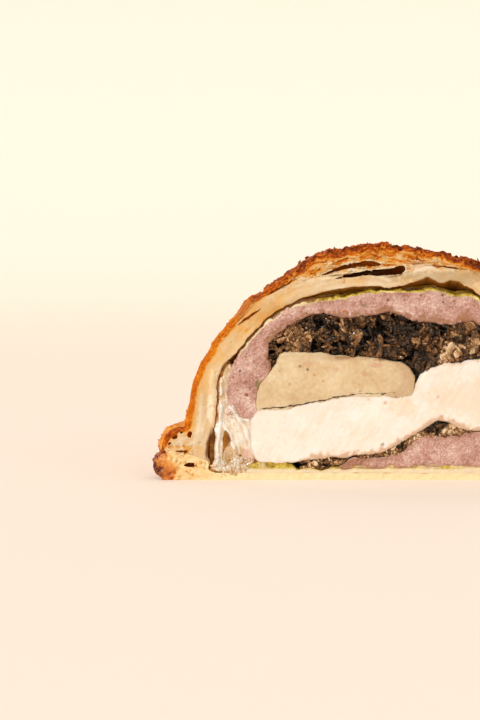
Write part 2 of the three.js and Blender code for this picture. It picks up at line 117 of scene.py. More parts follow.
def make_sheet():
    """The pale sheet that the pie stands on, bent up behind it in a quarter round."""
    bend = [
        (SHEET_BACK + SHEET_BEND * math.sin(a), SHEET_BEND * (1 - math.cos(a)))
        for a in np.linspace(0, math.pi / 2, 24)
    ]
    profile = [(SHEET_FRONT, 0), *bend, (SHEET_BACK + SHEET_BEND, SHEET_RISE)]
    points = [(side * SHEET_WIDTH / 2 * MM, y * MM, z * MM) for y, z in profile for side in (-1, 1)]
    faces = [(2 * i, 2 * i + 1, 2 * i + 3, 2 * i + 2) for i in range(len(profile) - 1)]
    mesh = bpy.data.meshes.new("sheet")
    mesh.from_pydata(points, [], faces)
    mesh.shade_smooth()
    paper = bpy.data.materials.new("pale_sheet")
    paper.use_nodes = True
    shader = paper.node_tree.nodes["Principled BSDF"]
    shader.inputs["Base Color"].default_value = (*rgb(249, 233, 217), 1)
    shader.inputs["Roughness"].default_value = 0.9
    mesh.materials.append(paper)
    sheet = bpy.data.objects.new("sheet", mesh)
    bpy.context.collection.objects.link(sheet)


make_sheet()

# ---------------------------------------- the base sheet
# A sheet of puff pastry under the whole pie. Its rim turns up round the foot of the lid and is pinched to
# it, browned at the edge and damp and pale under the filling. It is turned from its own profile on both
# sides of the cut.


def lattice(cell, seed):
    """A repeatable random number from -1 to 1 for each row of whole numbers."""
    mixed = cell[..., 0] * 374761393 + cell[..., 1] * 668265263 + cell[..., 2] * 1442695041
    mixed += seed * 1274126177
    mixed = (mixed ^ (mixed >> 13)) & 0xFFFFFFFF
    mixed = (mixed * 1103515245 + 12345) & 0xFFFFFFFF
    mixed = ((mixed ^ (mixed >> 15)) * 1274126177) & 0xFFFFFFFF
    return ((mixed ^ (mixed >> 16)) & 0xFFFF) / 32767.5 - 1


def bumps(points, size, seed, octaves=1):
    """Smooth random heights from about -1 to 1 over 2 or 3 coordinates, with bumps of one size, in mm."""
    at = np.zeros((len(points), 3))
    at[:, : points.shape[1]] = points
    total = np.zeros(len(points))
    for octave in range(octaves):
        scaled = at * 2**octave / size + 17.3 * octave
        cell = np.floor(scaled).astype(np.int64)
        part = scaled - cell
        part = part * part * (3 - 2 * part)
        for corner in np.ndindex(2, 2, 2):
            weight = np.prod(np.where(corner, part, 1 - part), axis=1)
            total += weight * lattice(cell + corner, seed + octave) / 2**octave
    return total


def chips(points, size, seed):
    """Cracked-up cells of one size in mm: how far each point is from its cell's edge, and its number."""
    at = np.zeros((len(points), 3))
    at[:, : points.shape[1]] = points
    cell = np.floor(at / size).astype(np.int64)
    nearest = np.full(len(points), 9.0)
    second = np.full(len(points), 9.0)
    number = np.zeros(len(points))
    for step in np.ndindex(3, 3, 3):
        if points.shape[1] == 2 and step[2] != 1:
            continue
        there = cell + np.array(step) - 1
        jitter = np.stack([lattice(there, seed + n) for n in range(3)], axis=1) * 0.45 + 0.5
        if points.shape[1] == 2:
            jitter[:, 2] = 0
            there = there * (1, 1, 0)
        far = np.linalg.norm(there + jitter - at / size, axis=1)
        closer = far < nearest
        second = np.where(closer, nearest, np.minimum(second, far))
        number = np.where(closer, lattice(there, seed + 7), number)
        nearest = np.minimum(nearest, far)
    return second - nearest, number


def ease(value, low, high):
    """0 below low, 1 above high, and smooth between them."""
    t = np.clip((value - low) / (high - low), 0, 1)
    return t * t * (3 - 2 * t)


def evenly(points, count=None, spacing=None, closed=False):
    """A line's points spread evenly along it, by number or by spacing in mm."""
    line = np.vstack([points, points[:1]]) if closed else np.asarray(points, float)
    run = np.r_[0, np.cumsum(np.linalg.norm(np.diff(line, axis=0), axis=1))]
    count = count or max(4, round(run[-1] / spacing) + 1)
    at = np.linspace(0, run[-1], count)
    even = np.stack([np.interp(at, run, line[:, k]) for k in range(line.shape[1])], axis=1)
    return even[:-1] if closed else even


def cut_outlines(node):
    """The outlines of a CAD node's cut face in mm: its border, against the clock, and its holes."""
    body = bmesh.new()
    body.from_mesh(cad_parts[node].data)
    bmesh.ops.remove_doubles(body, verts=body.verts, dist=1e-6)
    after = {}
    for edge in body.edges:
        cut = [f for f in edge.link_faces if all(abs(v.co.y - CUT) < 2e-5 for v in f.verts)]
        if len(cut) == 1:
            loop = next(corner for corner in cut[0].loops if corner.edge == edge)
            after[loop.vert] = loop.link_loop_next.vert
    outlines = []
    while after:
        vert, path = next(iter(after)), []
        while vert in after:
            path.append(((vert.co.x - MIDDLE) / MM, vert.co.z / MM))
            vert = after.pop(vert)
        outlines.append(np.array(path))
    body.free()
    outlines.sort(key=area)
    return outlines[-1], [o for o in outlines[:-1] if area(o) < -1]


def area(border):
    x, z = border.T
    return 0.5 * np.sum(x * np.roll(z, -1) - z * np.roll(x, -1))


def inside(points, border):
    """Which of the points lie inside a closed border."""
    hit = np.zeros(len(points), bool)
    for a, b in zip(border, np.roll(border, -1, axis=0)):
        if a[1] != b[1]:
            spans = (a[1] > points[:, 1]) != (b[1] > points[:, 1])
            hit ^= spans & (points[:, 0] < a[0] + (points[:, 1] - a[1]) / (b[1] - a[1]) * (b[0] - a[0]))
    return hit


def nearest(points, line):
    """How far each point is from a line in mm, and the number of the line's point that is nearest."""
    tree = KDTree(len(line))
    for n, (x, z) in enumerate(line):
        tree.insert((x, z, 0), n)
    tree.balance()
    found = [tree.find((x, z, 0)) for x, z in points]
    return np.array([f[2] for f in found]), np.array([f[1] for f in found])


def tiled(border, spacing, holes=()):
    """A face inside a border and round its holes: flat points, border first, triangles and hole rims."""
    low, high = border.min(0), border.max(0)
    x, z = np.meshgrid(np.arange(low[0], high[0], spacing), np.arange(low[1], high[1], spacing * 0.87))
    x[1::2] += spacing / 2
    grid = np.stack([x.ravel(), z.ravel()], axis=1)
    cells = np.c_[np.round(grid / spacing * 2), np.zeros(len(grid))].astype(np.int64)
    grid += 0.2 * spacing * np.stack([lattice(cells, 1), lattice(cells, 2)], axis=1)
    grid = grid[inside(grid, border)]
    for hole in holes:
        grid = grid[~inside(grid, hole)]
    lines = np.vstack([border, *holes])
    grid = grid[nearest(grid, lines)[0] > 0.55 * spacing]
    rims, first = [], 0
    for line in (border, *holes):
        rims.append([first + n for n in range(len(line))])
        first += len(line)
    every = [Vector(p) for p in np.vstack([lines, grid])]
    hems = [(rim[n - 1], rim[n]) for rim in rims[1:] for n in range(len(rim))]
    flat, _, faces, *_ = delaunay_2d_cdt(every, hems, [rims[0]], 1, 1e-5)
    flat, faces = np.array([tuple(p) for p in flat]), np.array(faces)
    middles = flat[faces].mean(axis=1)
    for hole in holes:
        outside = ~inside(middles, hole)
        faces, middles = faces[outside], middles[outside]
    return flat, faces, rims[1:]


def rounded(line, closed=True, rounds=2):
    """A line with its corners cut off."""
    for _ in range(rounds):
        after = np.roll(line, -1, axis=0) if closed else line[1:]
        before = line if closed else line[:-1]
        cut = np.stack([0.75 * before + 0.25 * after, 0.25 * before + 0.75 * after], axis=1).reshape(-1, 2)
        line = cut if closed else np.vstack([line[:1], cut, line[-1:]])
    return line


def cut_relief(flat):
    """How far back the cut lies in mm, the same for every piece, so that their edges meet."""
    return 0.2 * bumps(flat, 12, 64) + 0.08 * bumps(flat, 3.5, 65)


def set_back(flat, depth):
    """Points of the cut face as points of the pie, each at its depth behind the cut."""
    return np.stack([flat[:, 0], depth, flat[:, 1]], axis=1)


def finished_mesh(name, points, faces, marks, finish, nodes, smooth_below=45):
    """A piece of the pie: points in mm from the middle of the cut, and the marks that its finish reads."""
    mesh = bpy.data.meshes.new(name)
    placed = np.asarray(points) * MM + (MIDDLE, CUT, 0)
    mesh.from_pydata(placed.tolist(), [], [list(map(int, f)) for f in faces])
    for mark, values in marks.items():
        values = np.asarray(values, np.float32)
        kind, key = {1: ("FLOAT", "value"), 3: ("FLOAT_VECTOR", "vector"), 4: ("FLOAT_COLOR", "color")}[
            1 if values.ndim == 1 else values.shape[1]
        ]
        mesh.attributes.new(mark, kind, "POINT").data.foreach_set(key, values.ravel())
    mesh.validate()
    mesh.shade_smooth()
    mesh.set_sharp_from_angle(angle=math.radians(smooth_below))
    mesh.materials.append(finish)
    piece = bpy.data.objects.new(name, mesh)
    bpy.context.collection.objects.link(piece)
    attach(piece, "root")
    if nodes:
        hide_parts(*nodes)
    return piece


class Nodes:
    """A node tree that is built step by step."""

    def __init__(self, tree):
        self.nodes = tree.nodes
        self.links = tree.links

    def add(self, kind, settings=(), **inputs):
        """A new node. Inputs go by name, or by number as _0 and _1, and are sockets or plain values."""
        node = self.nodes.new(kind)
        for key, value in dict(settings).items():
            setattr(node, key, value)
        for key, value in inputs.items():
            socket = node.inputs[int(key[1:])] if key[0] == "_" else node.inputs[key.replace("_", " ")]
            if isinstance(value, bpy.types.NodeSocket):
                self.links.new(value, socket)
            else:
                socket.default_value = value
        return node


class Finish(Nodes):
    """A material whose look is worked out in nodes from the piece's own coordinates and marks."""

    def __init__(self, name, **sockets):
        self.material = bpy.data.materials.new(name)
        self.material.use_nodes = True
        super().__init__(self.material.node_tree)
        self.shader = self.nodes["Principled BSDF"]
        for socket, value in sockets.items():
            self.shader.inputs[socket.replace("_", " ")].default_value = value
        self.place = self.nodes.new("ShaderNodeTexCoord").outputs["Object"]

    def mark(self, name):
        """A number that the mesh carries at each point."""
        return self.add("ShaderNodeAttribute", {"attribute_name": name}).outputs["Fac"]

    def paint(self, colour):
        """The colour, painted over where the mesh carries paint."""
        mark = self.add("ShaderNodeAttribute", {"attribute_name": "paint"})
        return self.mix(mark.outputs["Alpha"], colour, mark.outputs["Color"])

    def stretched(self, size, turn=(0, 0, 0)):
        """The piece's coordinates, scaled so that one unit has this size in mm along each axis."""
        scale = tuple(1 / (s * MM) for s in size)
        turned = self.add("ShaderNodeMapping", Vector=self.place, Rotation=turn).outputs[0]
        return self.add("ShaderNodeMapping", Vector=turned, Scale=scale).outputs[0]

    def noise(self, size, detail=3.0, roughness=0.55, vector=None, distortion=0.0):
        """Cloudy variation from 0 to 1, with clouds of one size in mm."""
        scale = 1 / (size * MM) if vector is None else 1.0
        return self.add("ShaderNodeTexNoise", Vector=vector or self.place, Scale=scale, Detail=detail,
                        Roughness=roughness, Distortion=distortion).outputs["Fac"]

    def specks(self, spacing, radius):
        """Round specks of a radius in mm, 1 in their middle and 0 outside, about one in spacing cubed."""
        cells = self.add("ShaderNodeTexVoronoi", Vector=self.place, Scale=1 / (spacing * MM))
        return self.span(cells.outputs["Distance"], radius / spacing, radius / spacing * 0.55)

    def span(self, value, low, high, to_low=0.0, to_high=1.0):
        """The value, with low and high moved to 0 and 1 and cut off there."""
        return self.add("ShaderNodeMapRange", {"clamp": True}, Value=value, From_Min=low, From_Max=high,
                        To_Min=to_low, To_Max=to_high).outputs["Result"]

    def swing(self, clouds, by, low=0.3, high=0.7):
        """Cloudy variation, turned into numbers from minus to plus by."""
        return self.span(clouds, low, high, -by, by)

    def maths(self, operation, a, b):
        """Two values put together, such as by MULTIPLY."""
        return self.add("ShaderNodeMath", {"operation": operation}, _0=a, _1=b).outputs[0]

    def total(self, first, *others):
        for other in others:
            first = self.maths("ADD", first, other)
        return first

    def ramp(self, value, stops):
        """Colours along a value, from (place, colour) pairs in the photograph's numbers."""
        node = self.add("ShaderNodeValToRGB", Fac=value)
        elements = node.color_ramp.elements
        while len(elements) < len(stops):
            elements.new(0.5)
        for element, (position, colour) in zip(elements, stops):
            element.position = position
            element.color = (*rgb(*colour), 1)
        return node.outputs["Color"]

    def mix(self, share, first, second):
        """The first colour where share is 0, and the second where it is 1."""
        node = self.add("ShaderNodeMix", {"data_type": "RGBA"}, _0=share)
        for socket, colour in ((node.inputs[6], first), (node.inputs[7], second)):
            if isinstance(colour, bpy.types.NodeSocket):
                self.links.new(colour, socket)
            else:
                socket.default_value = (*rgb(*colour), 1)
        return node.outputs[2]

    def bump(self, height, depth, before=None):
        """Fine relief of a depth in mm, from a height that runs from 0 to 1."""
        extra = {"Normal": before} if before else {}
        relief = self.add("ShaderNodeBump", Height=height, Distance=depth * MM, Strength=1.0, **extra)
        return relief.outputs[0]

    def done(self, colour, roughness=None, normal=None):
        self.links.new(colour, self.shader.inputs["Base Color"])
        if roughness:
            self.links.new(roughness, self.shader.inputs["Roughness"])
        if normal:
            self.links.new(normal, self.shader.inputs["Normal"])
        return self.material


def pastry_finish(name):
    """Puff pastry. Its mark bake runs from pale at 0 to dark brown at 1; hollow is painted shade, deepest
    in holes.
    """
    f = Finish(name, Roughness=0.5, Subsurface_Weight=0.12, Subsurface_Scale=0.0016,
               Subsurface_Radius=(1.0, 0.55, 0.25))
    bake = f.total(f.mark("bake"), f.swing(f.noise(2.4, 4), 0.09), f.swing(f.noise(0.5, 3), 0.07))
    colour = f.ramp(bake, [
        (0.0, (250, 224, 174)), (0.22, (242, 202, 138)), (0.4, (230, 156, 66)), (0.56, (205, 112, 30)),
        (0.74, (150, 74, 18)), (0.9, (100, 44, 14)), (1.0, (62, 26, 12)),
    ])
    # Painted shade: brown where the hollow mark is strong, in holes, cracks and gaps.
    colour = f.mix(f.mark("hollow"), colour, (120, 70, 22))
    shine = f.span(bake, 0.2, 0.8, 0.52, 0.36)
    relief = f.bump(f.noise(0.35, 3), 0.05, f.bump(f.noise(1.6, 4), 0.16))
    return f.done(colour, shine, relief)


pastry = pastry_finish("baked_puff_pastry")


def turned_grid(left, right, turns):
    """A surface turned about the pie's upright axis: [profile stop, turn], from the right to the left."""
    rightness = ((1 + np.cos(turns)) / 2)[None, :, None]
    profile = np.abs(left)[:, None, :] * (1 - rightness) + np.abs(right)[:, None, :] * rightness
    radius, height = profile[..., 0], profile[..., 1]
    return np.stack([radius * np.cos(turns), radius * np.sin(turns), height], axis=2)


def grid_normals(grid):
    along, round_ = np.gradient(grid, axis=0), np.gradient(grid, axis=1)
    normal = np.cross(round_, along)
    normal[0] = normal[1].mean(axis=0)
    length = np.linalg.norm(normal, axis=2, keepdims=True)
    return normal / np.maximum(length, 1e-9)


def turns_from_cut(first, last, growth, radius):
    """Angles from 0 to half a turn, close together at the cut and further apart behind it."""
    steps, step, run = [0.0], first, first
    while run < math.pi / 2 * radius:
        steps.append(run)
        step = min(step * growth, last)
        run += step
    half = np.array(steps) / radius
    return np.r_[half, math.pi / 2, (math.pi - half)[::-1]]


BASE_CORNER_LEFT = (-52.0, 2.0)  # where the sheet's flat floor meets its rim
BASE_CORNER_RIGHT = (57.0, 2.0)
BASE_FOOT_LEFT = (-67.6, 0.0)  # where the rim leaves the table
BASE_FOOT_RIGHT = (67.0, 0.0)
BASE_RADIUS = 70
PIE_RADIUS = 72
RIM_STOPS = 46  # points along the rim's profile
RIM_STEPS = (0.6, 1.4, 1.12)  # first and last step round the rim in mm, and how fast the steps grow
FOOT_PINCHES = 19  # pinches in a full turn round the pie's foot
BASE_CUT_SPACING = 0.34  # between points of the cut face
BASE_HOLE_DEPTH = 3
POCKET_STOPS = (0.03, 0.08, 0.16, 0.3, 0.48, 0.7, 0.88, 1.0)  # shares of a hollow's depth


def chain_between(loop, start, end):
    """The stretch of a closed line from its point nearest start to its point nearest end."""
    a = int(np.argmin(np.linalg.norm(loop - start, axis=1)))
    b = int(np.argmin(np.linalg.norm(loop - end, axis=1)))
    return loop[a : b + 1] if a <= b else np.vstack([loop[a:], loop[: b + 1]])


def soft_chain(loop, start, end, spacing):
    """The same stretch with its corners cut off, spread evenly."""
    return evenly(rounded(chain_between(loop, start, end), closed=False), spacing=spacing)


def pinches(points, turns):
    """The wave of pinches round the foot, from -1 to 1, that the lid and the base sheet share."""
    return np.sin(FOOT_PINCHES * turns + 1.5 * bumps(points * (1, 1, 0), 20, 255))


def walled(points, faces, rim, rings):
    """Adds a wall from a closed rim of numbered points back through rings of new points, with its end."""
    front = np.array(rim)
    for ring in rings:
        behind = len(points) + np.arange(len(ring))
        points = np.vstack([points, ring])
        faces += np.stack([np.roll(front, -1), front, behind, np.roll(behind, -1)], axis=1).tolist()
        front = behind
    faces.append(front[::-1].tolist())
    return points, faces


def pocketed(points, faces, rim, depth):
    """Adds the pocket behind a hole in the cut face, which narrows and sinks with the dome."""
    hole = points[rim][:, [0, 2]]
    middle = hole.mean(0)
    rings = []
    for share in POCKET_STOPS:
        back = share * depth
        sunk = math.sqrt(1 - (back / PIE_RADIUS) ** 2)
        rough = np.c_[hole, np.full(len(hole), back)]
        swell = 1 + 0.10 * np.sin(3.1 * share) - 0.55 * share**3 + 0.06 * bumps(rough, 1.6, 71)
        flat = (middle + (hole - middle) * swell[:, None]) * sunk
        rings.append(set_back(flat, np.full(len(flat), back)))
    return walled(points, faces, rim, rings)


def padded(values, count):
    return np.concatenate([values, np.zeros((count - len(values), *values.shape[1:]))])


def make_base():
    outline, holes = cut_outlines("crust_base")
    right = rounded(chain_between(outline, BASE_FOOT_RIGHT, BASE_CORNER_RIGHT), closed=False)
    left = rounded(chain_between(outline, BASE_CORNER_LEFT, BASE_FOOT_LEFT), closed=False)
    right, left = evenly(right, RIM_STOPS), evenly(left, RIM_STOPS)[::-1]
    turns = turns_from_cut(*RIM_STEPS, BASE_RADIUS)
    rim = turned_grid(left, right, turns)
    flat = rim.reshape(-1, 3)
    push = (bumps(flat, 6, 31, 2) * 0.5 + bumps(flat, 1.8, 33, 2) * 0.35).reshape(rim.shape[:2])
    reach = np.hypot(rim[..., 0], rim[..., 1])
    under_lid = 1.5 * ease(rim[..., 2], 3.0, 5) * (1 - ease(reach, 66, 68.5))
    pinch = 0.55 * pinches(flat, np.tile(turns, len(rim))).reshape(rim.shape[:2])
    knobs = (0.75 * bumps(flat, 2.8, 35, 2) + 0.3 * bumps(flat, 1.1, 37)).reshape(rim.shape[:2])
    push += (pinch + knobs) * ease(reach, 65, 69)
    rim = rim + grid_normals(rim) * (push * ease(rim[..., 2], 0.3, 3.0) + under_lid)[..., None]
    rim[..., 2] = np.maximum(rim[..., 2], 0)
    rows, columns = rim.shape[:2]

    # The cut face: the right rim from the table up, the floor, the left rim down, and the underside.
    floor = evenly(np.array([rim[-1, 0], rim[-1, -1]])[:, [0, 2]], spacing=0.5)[1:-1]
    under = evenly(np.array([rim[0, -1], rim[0, 0]])[:, [0, 2]], spacing=0.8)[1:-1]
    border = np.vstack([rim[:, 0][:, [0, 2]], floor, rim[::-1, -1][:, [0, 2]], under])
    holes = [evenly(rounded(hole), spacing=0.3, closed=True) for hole in holes]
    flat, faces, rims = tiled(border, BASE_CUT_SPACING, holes)
    x, z = flat.T
    edge, _ = nearest(flat, border)
    rim_part = ease(np.abs(x + 1), 52, 58)
    web, web_number = chips(flat + 0.3 * bumps(flat, 1.2, 47)[:, None], 2.0, 48)
    pit = ease(web, 0.18, 0.6) * (web_number > -0.2) * rim_part
    depth = 0.12 * bumps(flat, 1.2, 41, 2) + rim_part * 0.45 * bumps(flat * (0.6, 1.1), 1.8, 43, 3)
    depth += 0.45 * pit
    depth = cut_relief(flat) - 0.06 + 0.08 * bumps(flat, 1.1, 49) + depth * ease(edge, 0, 0.5)
    cut = set_back(flat, depth)

    # Behind the cut runs the rim's grid. Its first and last columns are points of the border.
    number = np.full((rows, columns), -1)
    number[:, 0] = np.arange(rows)
    number[:, -1] = rows + len(floor) + np.arange(rows)[::-1]
    number[:, 1:-1] = len(flat) + np.arange(rows * (columns - 2)).reshape(rows, columns - 2)
    quads = np.stack([number[:-1, :-1], number[:-1, 1:], number[1:, 1:], number[1:, :-1]], axis=-1)
    top = [*number[-1], *(rows + np.arange(len(floor)))[::-1]]
    bottom = [*number[0][::-1], *(2 * rows + len(floor) + np.arange(len(under)))[::-1]]
    points = np.vstack([cut, rim[:, 1:-1].reshape(-1, 3)])
    faces = [*faces.tolist(), *quads.reshape(-1, 4)[:, ::-1].tolist(), top[::-1], bottom[::-1]]
    before = len(points)
    for hole in rims:
        points, faces = pocketed(points, faces, hole, BASE_HOLE_DEPTH)

    outward = np.hypot(points[:, 0], points[:, 1])
    bake = 0.02 + 0.14 * ease(outward, 46, 60)
    uneven = bumps(points, 3, 52, 3)
    orange = ease(outward + 1.6 * uneven - 0.25 * points[:, 2], 62.5, 66.5)
    patch = 0.35 + 0.65 * ease(-points[:, 0], 58, 66) * (1 - ease(points[:, 1], 4, 12))
    patch = np.maximum(patch, 0.8 * ease(bumps(points, 9, 54, 2), 0.2, 0.9))
    dark = ease(outward + 1.8 * uneven - 0.22 * points[:, 2], 67.8, 70.6) * patch
    behind = ease(points[:, 1], 0.4, 2.0) * ease(outward, 60, 66)
    bake += np.maximum(orange * 0.34, behind * (0.36 + 0.10 * bumps(points, 7, 51, 2))) + dark * 0.36
    bake += 0.09 * bumps(points, 1.6, 53, 3) * ease(outward, 58, 64)
    bake[: len(flat)] += 0.14 * pit - 0.05 * (1 - ease(outward[: len(flat)], 50, 60))
    # Painted shade inside the holes, darker as they run back.
    hollow = np.zeros(len(points))
    hollow[before:] = 0.7 * ease(points[before:, 1], 0.3, 2)
    bake[before:] = 0.5
    crowd = ease(-x, 36, 46) * ease(bumps(flat, 3.5, 55, 2), -0.3, 0.4)
    seam = (1 - ease(nearest(flat, rim[:, -1][:, [0, 2]])[0], 0.3, 1.4)) * (x < -50)
    crowd = padded(np.maximum(crowd, 0.9 * seam) * ease(z, 1.0, 1.8), len(points))
    crusted = 0.7 * ease(outward + 1.5 * uneven, 67.5, 69.5) * ease(points[:, 2], 1.5, 3)
    crowd[len(flat) : before] = crusted[len(flat) : before]
    marks = {"bake": bake, "hollow": hollow, "crowd": crowd, "size": np.ones(len(points))}
    return finished_mesh("base_sheet", points, faces, marks, pastry, ["crust_base"])


base_sheet = make_base()

# ---------------------------------------- the cabbage leaf under the filling
# One soft cooked leaf lies flat on the base sheet, with a second one on it that is seen as a thin green
# line. Each layer of the filling is cut across at the front and runs back through the pie, closing in as
# the dome does.

FLOOR = 2.3  # height at which the filling starts
TURNS_BACK = np.radians([0.45, 1.4, 3, 6, 10, 16, 24, 34, 45, 56, 66, 76])  # of each ring, round the dome
LAYER_SWELL = [0.3, 0.45, 0.5, 0.4, *np.zeros(len(TURNS_BACK) - 4)]  # how far each ring grows outwards
CAVITY_DEPTH = 52.5
DOME_FULLNESS = 2.35  # 2 would be a round dome, and more makes it squarer


def ring_at(turn, line):
    """Where a line of the cut face lies at a turn round the dome: further back, further in and lower."""
    low = (1 - math.sin(turn) ** DOME_FULLNESS) ** (1 / DOME_FULLNESS)
    back = np.full(len(line), CAVITY_DEPTH * math.sin(turn))
    return np.stack([line[:, 0] * math.cos(turn), back, FLOOR + (line[:, 1] - FLOOR) * low], axis=1)


def grown(line, by):
    """A closed line moved outwards by a distance in mm."""
    return line + by * normals_of(line)


def run_back(border, start, points, faces):
    """Runs a layer's border back through the pie from the depth at which each of its points starts. Just
    behind the cut it swells, to lie against its neighbours."""
    rings = [ring_at(turn, grown(border, by)) for turn, by in zip(TURNS_BACK, LAYER_SWELL)]
    for ring in rings:
        ring[:, 1] += start * (1 - ring[:, 1] / CAVITY_DEPTH)
    return walled(points, faces, range(len(border)), rings)


def sway(points, size, seed, octaves=1, ways=2):
    """Smooth random moves of each point, along as many axes as there are ways."""
    return np.stack([bumps(points, size, seed + n, octaves) for n in range(ways)], axis=1)


def normals_of(line):
    """Directions square to a closed line that runs against the clock, outwards from what it goes round."""
    along = np.roll(line, -1, axis=0) - np.roll(line, 1, axis=0)
    out = np.stack([along[:, 1], -along[:, 0]], axis=1)
    return out / np.maximum(np.linalg.norm(out, axis=1, keepdims=True), 1e-9)


def wavered(flat):
    """Points of the cut face, moved a little by one field, so that layers that touch stay together."""
    return flat + (0.34 * sway(flat, 3.4, 61, 2) + 0.12 * sway(flat, 0.9, 66))


def layer_face(node, spacing=0.3, overlap=0.32, smooth=0.3, ragged=0.0):
    """A filling layer's cut face: its border, its flat points, its triangles, and how far each is from the
    border. The CAD's outline is smoothed over a length and grown to overlap its neighbours, and may be
    ragged, all in mm."""
    border, _ = cut_outlines(node)
    border = rounded(evenly(border, spacing=smooth, closed=True), rounds=3)
    border = grown(evenly(border, spacing=1.1 * spacing, closed=True), overlap)
    border = wavered(border + (ragged * bumps(border, 0.9, 87, 3))[:, None] * normals_of(border))
    flat, faces, _ = tiled(border, spacing)
    return border, flat, faces.tolist(), nearest(flat, border)[0]


def layer_piece(name, node, finish, face, relief, marks, sunk=0.0):
    """A filling layer from its cut face, with relief that fades out at its border. It lies sunk behind the
    cut, all in mm."""
    border, flat, faces, edge = face
    depth = cut_relief(flat) + relief * ease(edge, 0, 0.7) + sunk
    cut = set_back(flat, depth)
    points, faces = run_back(border, depth[: len(border)], cut, faces)
    marks = {mark: padded(values, len(points)) for mark, values in marks.items()}
    return finished_mesh(name, points, faces, marks, finish, [node])


def painted(flat, spots, ragged=0.35):
    """Paint for a list of spots, each a middle, half a width, half a height, a colour and a strength."""
    paint = np.zeros((len(flat), 4))
    uneven = ragged * bumps(flat, 0.9, 81, 2) + 0.5 * ragged * bumps(flat, 2.6, 83)
    for x, z, wide, high, colour, strength in spots:
        far = np.hypot((flat[:, 0] - x) / wide, (flat[:, 1] - z) / high) + uneven
        share = strength * (1 - ease(far, 0.65, 1.15))
        paint[:, :3] = np.where((share > paint[:, 3])[:, None], rgb(*colour), paint[:, :3])
        paint[:, 3] = np.maximum(paint[:, 3], share)
    return paint


def leaf_finish():
    f = Finish("cooked_cabbage_leaf", Roughness=0.34, Subsurface_Weight=0.15, Subsurface_Scale=0.0012,
               Subsurface_Radius=(0.8, 0.9, 0.2))
    tint = f.total(f.noise(2.6, 4), f.swing(f.noise(0.6, 3), 0.12))
    colour = f.ramp(tint, [
        (0.28, (118, 92, 14)), (0.40, (170, 138, 28)), (0.52, (206, 178, 60)), (0.64, (226, 204, 106)),
        (0.76, (238, 224, 164)),
    ])
    colour = f.mix(f.mark("pale"), colour, (240, 220, 186))
    colour = f.mix(f.mark("shade"), colour, (104, 64, 14))
    relief = f.bump(f.noise(0.3, 3), 0.05, f.bump(f.noise(1.1, 3), 0.12))
    return f.done(f.paint(colour), f.span(f.noise(1.5, 2), 0.3, 0.7, 0.22, 0.45), relief)


leaf = leaf_finish()


def make_leaf_base():
    face = layer_face("cabbage_base", 0.3)
    _, flat, _, _ = face
    x, z = flat.T
    run = np.c_[x / 9, z]
    depth = 0.16 * bumps(run, 0.7, 91, 2) + 0.15 * bumps(flat, 2.2, 93)
    line = 3.55 + 0.35 * bumps(flat * (1, 0), 9, 95, 2)
    over = np.abs(z - line)
    depth += 0.12 * (1 - ease(over, 0.1, 0.4))
    pale = np.maximum(ease(line - z, -0.2, 0.5), 0.55 * ease(bumps(flat, 2.4, 96, 2), -0.3, 0.5))
    marks = {"pale": 0.9 * pale, "shade": np.zeros(len(flat)), "paint": painted(flat, [])}
    layer_piece("leaf_base", "cabbage_base", leaf, face, depth, marks, sunk=0.08)


make_leaf_base()

# ---------------------------------------- the pink farce under the breast
# Fine pink forcemeat, cooked firm and pitted all over, browner where it touches the mushrooms. It lies on
# the leaf under the right half of the breast.


def farce_finish():
    f = Finish("pink_farce", Roughness=0.5, Subsurface_Weight=0.2, Subsurface_Scale=0.0015,
               Subsurface_Radius=(1.0, 0.45, 0.3))
    grain = f.span(f.noise(0.5, 4, 0.7, None, 0.8), 0.2, 0.8, 0.1, 0.9)
    grain = f.total(grain, f.swing(f.noise(4.5, 4), 0.16))
    colour = f.ramp(grain, [
        (0.22, (152, 94, 72)), (0.38, (184, 134, 116)), (0.52, (203, 158, 142)), (0.66, (222, 184, 168)),
        (0.80, (244, 222, 206)),
    ])
    colour = f.mix(f.mark("brown"), colour, (160, 108, 72))
    colour = f.mix(f.specks(3.1, 0.26), colour, (160, 92, 62))
    relief = f.bump(f.noise(0.28, 3), 0.07, f.bump(f.noise(0.9, 4), 0.16))
    return f.done(f.paint(colour), f.span(f.noise(1.2, 3), 0.35, 0.65, 0.34, 0.6), relief)


farce = farce_finish()


def farce_depth(flat):
    """Relief of the farce's cut face: soft swells, a fine grain and small round pits."""
    rim, number = chips(flat, 1.25, 101)
    pits = np.where(number > 0.35, 0.28 * ease(rim, 0.25, 0.75), 0)
    swell = 0.20 * bumps(flat, 4.5, 103) + 0.13 * bumps(flat, 1.1, 104, 2)
    return swell + pits


def make_farce_base():
    face = layer_face("farce_base")
    _, flat, _, edge = face
    brown = 0.55 * (1 - ease(edge + 0.5 * bumps(flat, 1.5, 106), 0, 1.3)) + 0.4 * ease(-flat[:, 0], -2, 14)
    marks = {"brown": brown, "paint": painted(flat, [])}
    layer_piece("lower_farce", "farce_base", farce, face, farce_depth(flat), marks, sunk=0.04)


make_farce_base()

# ---------------------------------------- the mushrooms under the breast
# Dark chopped mushroom: a wet core with the chopped pieces themselves scattered over it. The lower lot
# runs in small clumps along the floor and up over the farce.


def duxelles_finish():
    f = Finish("chopped_mushroom", Roughness=0.4, Specular_IOR_Level=0.5, Specular_Tint=(1.0, 0.8, 0.6, 1),
               Coat_Weight=0.35, Coat_Roughness=0.1)
    fibres = f.noise(1, 4, 0.65, f.stretched((0.4, 0.7, 0.8), (0.4, 0.6, 0.2)), 0.8)
    tone = f.total(f.mark("tone"), f.swing(fibres, 0.3), f.mark("ridge"))
    colour = f.ramp(tone, [
        (0.0, (14, 6, 2)), (0.2, (44, 25, 11)), (0.4, (94, 60, 30)), (0.6, (146, 100, 56)),
        (0.8, (200, 150, 98)), (1.0, (244, 214, 172)),
    ])
    relief = f.bump(fibres, 0.34, f.bump(f.noise(0.6, 3), 0.2))
    return f.done(colour, f.span(f.noise(0.5, 3), 0.36, 0.6, 0.14, 0.6), relief)


